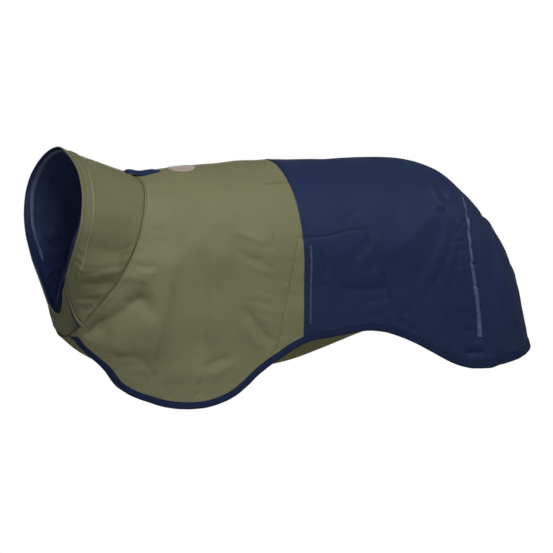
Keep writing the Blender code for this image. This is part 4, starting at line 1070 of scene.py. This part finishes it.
def collar_outer(c, t):
    p, n = collar_base(c, t)
    h = collar_relief(c, t, COLLAR_ROWS)
    y = t * tall(c)
    below = tall(c) * top_share(c) - y
    for c0, t0, lift in PUCKERS:
        h = h + lift * np.exp(-(((c - c0) * half_ring) / 3.2) ** 2 - ((y - t0 * float(tall(c0))) / 4.5) ** 2)
        h = h - 0.35 * lift * np.exp(-(((c - c0) * half_ring + 5.5) / 2.6) ** 2 - ((y - t0 * float(tall(c0))) / 5.5) ** 2)
    # channel round the rim and the flat-stitched front end
    h = h + 0.45 * np.exp(-((below - 1.5) / 2.2) ** 2) - 0.35 * np.exp(-((below - 5.5) / 1.6) ** 2)
    h = h + 0.35 * np.exp(-((below - COLLAR_TAPE_IN) / 4.0) ** 2)
    d_near = (collar_end(t) - c) * half_ring
    h = h + 0.5 * np.exp(-((d_near - 2.3) / 1.5) ** 2) - 1.25 * np.exp(-((d_near - 4.7) / 0.95) ** 2) + 1.0 * smooth((9.0 - d_near) / 9.0)
    # gathers into the neck seam
    k = c * half_ring
    h = h + waves(k, k * 0 + 1.0, ((15.0, 0.22), (27.0, 0.25)), 61) * np.exp(-(y / 12.0) ** 2)
    h = h - 1.7 * smooth((1.7 - y) / 1.9)
    # where the far end lies under the near end nothing stands out
    under = smooth((-0.93 - c) / 0.22)
    return p, n, h * (1 - 0.75 * under)


def top_share(c):
    """share of the height that the collar reaches: it is cut down at the front"""
    return 1.0 - 0.30 * smooth((-c - 0.74) / 0.18) * smooth((c + 1.16) / 0.13)


nc = 700 if FINE else 260
nt = 44 if FINE else 22
# columns close together at the near end, whose stitched edge shows
u = np.concatenate([np.linspace(0, 0.972, nc - nc // 14), np.linspace(0.972, 1, nc // 14 + 1)[1:]])


def collar_grid(t_rows, past=0.0):
    t = np.repeat(t_rows[:, None], nc, axis=1)
    far, near = collar_end(t_rows) - OVERLAP - 2, collar_end(t_rows) + past / half_ring
    c = far[:, None] + (near - far)[:, None] * u[None, :]
    w = np.abs((c + 1) % 2 - 1)
    t0 = (-3.2 - 1.0 * smooth((w - 0.885) / 0.03)) / tall(c)
    return c, t0 + (top_share(c) - t0) * t


rows_t = np.concatenate([np.linspace(0, 0.93, nt - 8), np.linspace(0.93, 1, 9)[1:]])
C, T = collar_grid(rows_t)
P, Nn, H = collar_outer(C, T)
co = P + Nn * H[..., None]
ci = co - Nn * CLOTH
# the cloth rolls over the rim and a short way down inside
up = P[-1] - P[-4]
up /= np.linalg.norm(up, axis=-1)[:, None]
roll_o, roll_i = [], []
R = 1.0
centre = co[-1] - Nn[-1] * R
for x in np.radians([25, 55, 85, 115, 150]):
    roll_o.append(centre + up * (R * 1.1 * math.sin(x)) + Nn[-1] * (R * math.cos(x)))
    roll_i.append(centre + up * (R * 0.12 * math.sin(x)) + Nn[-1] * (R * 0.12 * math.cos(x)))
for d in (0.6, 1.4):
    roll_o.append(centre - Nn[-1] * R - up * d)
    roll_i.append(centre - Nn[-1] * R * 0.12 - up * d)
co = np.concatenate([co, np.array(roll_o)])
ci = np.concatenate([ci, np.array(roll_i)])
UVc = np.stack([C * half_ring, T * tall(C)], -1)
extra = np.stack([np.repeat((C[-1] * half_ring)[None], 7, 0), (tall(C[-1]) + np.arange(1, 8)[:, None] * 0.9)], -1)
UVc = np.concatenate([UVc, extra])


def orient(ob):
    """faces of a closed piece turned outward"""
    mesh = ob.data
    vol = 0.0
    mesh.calc_loop_triangles()
    co_ = np.empty(len(mesh.vertices) * 3)
    mesh.vertices.foreach_get("co", co_)
    co_ = co_.reshape(-1, 3)
    lt = np.empty(len(mesh.loop_triangles) * 3, np.int32)
    mesh.loop_triangles.foreach_get("vertices", lt)
    lt = lt.reshape(-1, 3)
    vol = np.einsum('ij,ij->i', co_[lt[:, 0]], np.cross(co_[lt[:, 1]], co_[lt[:, 2]])).sum()
    if vol < 0:
        mesh.flip_normals()


collar = grid_shell("collar_cloth", co, ci, UVc, [M_COLLAR_SHADED, M_LINING], lined_from=nt + 2)

def lining_own(c, t):
    """how far the lining stands in from the outer cloth: creases of its own, and a fold under the near rim"""
    own = np.maximum(-collar_relief(c, t, LINING_ROWS, False) + 0.9, 0.0) * smooth((1 - t) / 0.2) * smooth(t / 0.15) \
        * (1 - smooth((-0.90 - c) / 0.1)) * smooth((0.60 - c) / 0.1)
    y = (top_share(c) - t) * tall(c)
    return own + 5.0 * np.exp(-((y - 9.0) / 5.5) ** 2) * smooth((c - 0.25) / 0.2) * smooth((0.80 - c) / 0.06)


lt_rows = np.concatenate([np.linspace(0.0, 0.90, nt - 12), np.linspace(0.90, 0.985, 6)[1:]])
CL, TL = collar_grid(lt_rows, 4.6)
lip = smooth((CL - 0.40) / 0.16) * smooth((0.90 - CL) / 0.05)
TL = TL + 4.6 * lip * smooth((lt_rows[:, None] - 0.90) / 0.085) / tall(CL)
PL, NL = collar_base(CL, TL)
_, _, HO = collar_outer(CL, TL)
lin = CLOTH + 0.35
top_in = 1.0 * smooth((TL - 0.9) / 0.08)
# the lining follows the outer cloth and has soft creases of its own, always inward
own = lining_own(CL, TL) + 0.9 * lip * smooth((lt_rows[:, None] - 0.955) / 0.03)
lo_ = PL + NL * (HO - lin - top_in - own)[..., None]
li_ = lo_ - NL * LINING
UVl = np.stack([CL * half_ring, TL * tall(CL)], -1)
lining = grid_shell("collar_lining_cloth", lo_, li_, UVl, [M_LINING])


def lining_at(c, t):
    p, n = collar_base(c, t)
    _, _, h = collar_outer(c, t)
    own_ = lining_own(c, t)
    return p, n, h - lin - 1.0 * smooth((t - 0.9) / 0.08) - own_ - LINING


def collar_strip(name, cs, below, width, thick, outside, mats):
    across = np.linspace(-0.5, 0.5, 7)
    rows_o, rows_i, uvs = [], [], []
    for x in across:
        t = (tall(cs) - below + x * width) / tall(cs)
        drop = 0.26 * (abs(x) * 2) ** 3
        if outside:
            p, n, h = collar_outer(cs, t)
            rows_o.append(p + n * (h + 0.22 + thick - drop)[..., None])
            rows_i.append(p + n * (h + 0.12)[..., None])
        else:
            p, n, h = lining_at(cs, t)
            rows_o.append(p + n * (h - 0.25 - thick + drop)[..., None])
            rows_i.append(p + n * (h - 0.25)[..., None])
        uvs.append(np.stack([cs * half_ring, np.full(len(cs), x * width)], -1))
    o, i, uv = np.array(rows_o), np.array(rows_i), np.array(uvs)
    return grid_shell(name, o, i, uv, mats)


cs = np.linspace(-COLLAR_TAPE_END, COLLAR_TAPE_END, 260 if FINE else 120)
tape_out = collar_strip("collar_stripe_outer", cs, cs * 0 + COLLAR_TAPE_IN, TAPE_WIDTH + 1.4, 0.35, True, [M_TONAL])
cs = np.linspace(-0.70, 0.57, 260 if FINE else 120)
tape_in = collar_strip("collar_stripe_inner", cs, curve(LINING_TAPE[:, 0], LINING_TAPE[:, 1], np.abs(cs)), TAPE_WIDTH + 0.9, 0.6, False, [M_TAPE_IN])

# ---------------------------------------------------------------- flap over the lead opening, and the patch
def leaf(name, outline_av, lift_fn, thick, mats, h, forward=0.0):
    """a closed piece over the spine from a half outline (distance along it, arc from it)"""
    half = np.asarray(outline_av)
    poly = np.vstack([half, half[::-1][1:-1] * (1, -1)]) if half[0, 1] == 0 and half[-1, 1] == 0 else np.vstack([half, half[::-1] * (1, -1)])
    poly = resample(poly, h, closed=True)
    av, t = mesh_plane(poly, [], h)
    a, v = av[:, 0], av[:, 1]
    p, n = base(a, v, -1.0), base_normal(a, v, -1.0)
    fl = body.flat(a, np.abs(v))
    rel = relief(fl, a, np.abs(v), -1.0)
    d = to_line(av, np.vstack([poly, poly[:1]]))[0]
    lift = lift_fn(a, v, d)
    o = p + n * (rel + lift + thick * smooth(d / 0.9 + 0.25))[:, None]
    i = p + n * (rel + lift)[:, None]
    ahead = smooth((23.0 - a) / 13.0)[:, None] * forward * np.array((-1.0, 0.0, 0.60))
    ob = shell(name, o + ahead, i + ahead, t[:, ::-1], av, mats)
    ob["cut_m2"] = half_area(o + ahead, t)
    orient(ob)
    return ob


first = float(neck_a(np.array(0.034)))
flap_half = spline(np.vstack([[(float(neck_a(np.array(0.0))) + 0.3, 0.0)], [(first - 0.2, 8.4)], FLAP]), 1.5)
flap = leaf("lead_flap_cloth", flap_half, lambda a, v, d: 0.3 + 2.3 * smooth(d / 7.0) * smooth((48 - a) / 14), 1.0, [M_NAVY], 1.6 if FINE else 3.0, 8.5)
ang = np.linspace(0, math.pi, 40)
disc = np.stack([PATCH_AT + PATCH_RADIUS * np.cos(ang), PATCH_RADIUS * np.sin(ang)], -1)
disc[0, 1] = disc[-1, 1] = 0.0
patch = leaf("back_disc", disc, lambda a, v, d: 0.28 + 0.22 * np.exp(-((d - 1.0) / 0.9) ** 2) - 0.12 * np.exp(-((d - 2.6) / 0.5) ** 2), 0.55, [M_PATCH], 1.2 if FINE else 3.0)

# ---------------------------------------------------------------- chest and belly piece
cradle = Hull(BELLY)
edge_k = np.concatenate([[0], np.cumsum(np.hypot(*np.diff(BELLY_EDGE, axis=0).T))])
b_edge = curve(edge_k, BELLY_EDGE, np.linspace(0, edge_k[-1], 260))
b_edge[:, 1] += 6.0 * smooth((110.0 - b_edge[:, 0]) / 60.0)
b_flat = resample(cradle.flat(b_edge[:, 0], np.maximum(b_edge[:, 1], 0.0)), BELLY_LATTICE)
fv = np.linspace(0, 27, int(27 / BELLY_LATTICE) + 1)[:-1]
front_e = cradle.flat(fv * 0, fv)
la = np.linspace(0, BELLY_EDGE[-1, 0], int(441 / BELLY_LATTICE))
mid_b = cradle.flat(la, la * 0)
bo = np.vstack([mid_b[:-1], b_flat[::-1], front_e[::-1][:-1]])
bfl, bt = mesh_plane(bo, [], BELLY_LATTICE)
ba, bb = cradle.unflat(bfl)
bmid = np.abs(bb) < 0.05
bb = np.where(bmid, 0.0, np.abs(bb))
bt = bt[~bmid[bt].all(1)]


def cradle_skin(a, v, side, lift):
    e = 0.8
    p = cradle.point(a, v, side)
    n = np.cross(cradle.point(a + e, v, side) - cradle.point(a - e, v, side), cradle.point(a, v + e, side) - cradle.point(a, v - e, side))
    n /= np.linalg.norm(n, axis=1)[:, None]
    n *= np.where(side > 0, -1.0, 1.0)
    return p, n


B_FOLDS = np.array([(60, 10, 150, 30, 4, 9, 8, 1.4), (120, 4, 210, 26, -4, 8, 9, 1.2), (200, 20, 262, 60, 3, 8, 8, 1.5),
                    (250, 30, 300, 110, 4, 10, 9, 1.4), (330, 20, 400, 60, 4, 12, 10, 1.2), (300, 130, 380, 150, 4, 10, 9, 1.2)], float)
b_outer, b_inner = [], []
for side in (-1.0, 1.0):
    p, n = cradle_skin(ba, bb, side, 0)
    at = np.stack([ba, bb], -1)
    rel = waves(ba, bb, ((80.0, 0.4), (34.0, 0.2)), 71)
    for x0, y0, x1, y1, bow, wa, wb, depth in B_FOLDS:
        k = 1.0 if side < 0 else 0.85
        row = np.array([x0 * k, y0, (x0 * k + x1 * k) / 2, (y0 + y1) / 2 + bow, x1 * k, y1, wa, wb, depth, 0.4])
        rel += crease(at, row) * smooth(bb / 12)
    rel = np.minimum(rel, 0.6) * (1 - 0.6 * smooth((bb - 120) / 60))
    b_outer.append(p + n * rel[:, None])
    b_inner.append(p + n * (rel - CLOTH)[:, None])
bix = np.arange(len(bfl)) + len(bfl)
bix[bmid] = np.flatnonzero(bmid)
bO, bI = np.vstack(b_outer), np.vstack(b_inner)
for k in (bO, bI):
    k[:len(bfl)][bmid, 1] = 0.0
bfaces = np.vstack([bt, bix[bt[:, ::-1]]])
belly = shell("belly_cloth_painted_shade", bO, bI, bfaces, np.vstack([bfl, bfl + (0, 1000.0)]), [M_BELLY_SHADED, M_INSIDE])
belly["cut_m2"] = half_area(bO, bfaces)

# ---------------------------------------------------------------- stitches
paths_o, paths_n, paths_p = [], [], []


def along(line, side, lift=0.02):
    p, n, _, _ = skin(resample(line, 1.5), side, lift)
    return p, n


for side in (-1, 1):
    # neck seam, on the yoke
    c = np.linspace(0.04, NECK_CORNER - 0.02, 180)
    a, v = neck_seam(c)
    for off in (2.2,):
        paths_o.append(along(body.flat(a + off, v), side))
    # seam across the back, on the rear panel
    v = np.linspace(2, 258, 150)
    paths_n.append(along(body.flat(np.full(150, MID_SEAM + 2.4), v), side))
    paths_o.append(along(spline(TUCK, 1.5), side))
    paths_n.append(along(spline(INNER_TOP, 1.5)[9:], side))
    paths_n.append(along(spline(INNER_REAR, 1.5), side))
    paths_o.append(along(spline(INNER_FRONT, 1.5)[3:], side))
    paths_n.append(along(spline(REAR_CHANNEL, 1.5), side))
    for line, e_ in ((REAR_TAPE, -1.5), (REAR_TAPE, 1.5), (SIDE_TAPE, -1.1), (SIDE_TAPE, 1.1)):
        pts = spline(line, 1.5)
        g = np.gradient(pts, axis=0)
        g /= np.hypot(*g.T)[:, None]
        paths_n.append(along(pts + np.stack([-g[:, 1], g[:, 0]], -1) * e_, side, 0.70))
    # hem binding
    pts = hem_line(1.5)[4:-6]
    g = np.gradient(pts, axis=0)
    g /= np.hypot(*g.T)[:, None]
    paths_n.append(along(pts + np.stack([-g[:, 1], g[:, 0]], -1) * (BIND_WIDTH * 0.84), side, 0.66))
# collar: rim, front end
cs = np.linspace(-1.15, 0.70, 900)
for below in (5.5,):
    p, n, h = collar_outer(cs, (tall(cs) * top_share(cs) - below) / tall(cs))
    paths_o.append((p + n * (h + 0.02)[:, None], n))
tt = np.linspace(0.06, 0.93, 90)
ce = collar_end(tt) - 4.7 / half_ring
p, n, h = collar_outer(ce, tt)
paths_e = [(p + n * (h + 0.25)[:, None], n)]
for below in (COLLAR_TAPE_IN - 2.2, COLLAR_TAPE_IN + 2.2):
    cs = np.linspace(-COLLAR_TAPE_END + .01, COLLAR_TAPE_END - .01, 500)
    p, n, h = collar_outer(cs, (tall(cs) - below) / tall(cs))
    paths_o.append((p + n * (h + 0.50)[:, None], n))
s_olive = stitches("stitches_olive", paths_o, M_THREAD_O)
s_navy = stitches("stitches_navy", paths_n, M_THREAD_N)
s_end = stitches("stitches_collar_end", paths_e, M_THREAD_E, pitch=3.0, length=2.7, radius=0.5)
ring_a = np.linspace(0, 2 * math.pi, 120)
pa, pv = PATCH_AT + (PATCH_RADIUS - 2.6) * np.cos(ring_a), (PATCH_RADIUS - 2.6) * np.sin(ring_a)
p, n = base(pa, pv, -1.0), base_normal(pa, pv, -1.0)
rel = relief(body.flat(pa, np.abs(pv)), pa, np.abs(pv), -1.0)
s_patch = stitches("stitches_patch", [(p + n * (rel + 0.75)[:, None], n)], M_THREAD_P, pitch=2.6, length=1.8, radius=0.2)

# ---------------------------------------------------------------- frame
for ob in (yoke, rear, binding, collar, lining, tape_out, tape_in, belly):
    orient(ob)
for ob, node, slot in ((yoke, "yoke", "olive_cloth"), (rear, "rear_panel", "navy_cloth"), (binding, "hem_binding", "binding"),
                       (collar, "collar", "olive_cloth"), (lining, "collar_lining", "collar_lining"),
                       (tape_out, "collar_tape_outer", "olive_cloth"), (tape_in, "collar_tape_inner", "reflective_tape"),
                       (flap, "lead_flap", "navy_cloth"), (patch, "back_patch", "patch"), (belly, "belly_panel", "olive_cloth")):
    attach(ob, "root")
    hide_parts(node)
for ob, slot in ((s_olive, "olive_cloth"), (s_end, "olive_cloth"), (s_navy, "navy_cloth"), (s_patch, "patch")):
    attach(ob, "root")

# ---------------------------------------------------------------- floor, light, camera
LOOK = Vector((0.0, 0.0, -0.1461))
az, el, dist = math.radians(-24.0), math.radians(14.0), 3.2
back = Vector((math.sin(az) * math.cos(el), -math.cos(az) * math.cos(el), math.sin(el)))
cam_data = bpy.data.cameras.new("camera")
cam_data.sensor_width = 36.0
cam_data.lens = 36.0 * 2560.0 / 553.0
cam_data.clip_end = 100.0
cam = bpy.data.objects.new("camera", cam_data)
cam.location = LOOK + back * dist
cam.rotation_euler = (-back).to_track_quat('-Z', 'Y').to_euler()
bpy.context.scene.collection.objects.link(cam)
bpy.context.scene.camera = cam

mesh = bpy.data.meshes.new("floor")
S = 30.0
mesh.from_pydata([(-S, -S, -0.62), (S, -S, -0.62), (S, S, -0.62), (-S, S, -0.62)], [], [(0, 1, 2, 3)])
floor = bpy.data.objects.new("floor", mesh)
m, t, b = nodes_of("floor")
b.inputs["Base Color"].default_value = (0.40, 0.40, 0.40, 1)
b.inputs["Roughness"].default_value = 0.95
b.inputs["Specular IOR Level"].default_value = 0.0
pale = t.nodes.new("ShaderNodeEmission")
pale.inputs["Color"].default_value = (1, 1, 1, 1)
pale.inputs["Strength"].default_value = 1.0
seen = t.nodes.new("ShaderNodeLightPath")
both_ = t.nodes.new("ShaderNodeMixShader")
t.links.new(seen.outputs["Is Camera Ray"], both_.inputs["Fac"])
t.links.new(b.outputs["BSDF"], both_.inputs[1])
t.links.new(pale.outputs["Emission"], both_.inputs[2])
t.links.new(both_.outputs["Shader"], t.nodes["Material Output"].inputs["Surface"])
mesh.materials.append(m)
bpy.context.scene.collection.objects.link(floor)

w = bpy.data.worlds.new("studio")
w.use_nodes = True
bg = w.node_tree.nodes["Background"]
bg.inputs["Color"].default_value = (1, 1, 1, 1)
bg.inputs["Strength"].default_value = 0.20
white = w.node_tree.nodes.new("ShaderNodeBackground")
white.inputs["Color"].default_value = (1, 1, 1, 1)
white.inputs["Strength"].default_value = 1.0
path = w.node_tree.nodes.new("ShaderNodeLightPath")
mixer = w.node_tree.nodes.new("ShaderNodeMixShader")
w.node_tree.links.new(path.outputs["Is Camera Ray"], mixer.inputs["Fac"])
w.node_tree.links.new(bg.outputs["Background"], mixer.inputs[1])
w.node_tree.links.new(white.outputs["Background"], mixer.inputs[2])
w.node_tree.links.new(mixer.outputs["Shader"], w.node_tree.nodes["World Output"].inputs["Surface"])
bpy.context.scene.world = w


def softbox(name, at, size, energy, to=(0.0, 0.0, -0.12)):
    d = bpy.data.lights.new(name, 'AREA')
    d.shape = 'RECTANGLE'
    d.size, d.size_y = size
    d.energy = energy
    o = bpy.data.objects.new(name, d)
    o.location = at
    o.rotation_euler = (Vector(to) - Vector(at)).to_track_quat('-Z', 'Y').to_euler()
    bpy.context.scene.collection.objects.link(o)
    return o


softbox("key", (-0.34, -1.60, 2.00), (1.1, 1.1), 47)
softbox("fill", (-1.0, -2.3, -0.1), (1.2, 1.2), 8)
softbox("right", (2.3, -0.7, 1.3), (1.2, 1.2), 9)
softbox("behind", (0.4, 2.3, -0.12), (0.9, 0.5), 15)
bpy.context.scene.view_settings.view_transform = 'Standard'
bpy.context.scene.view_settings.look = 'None'
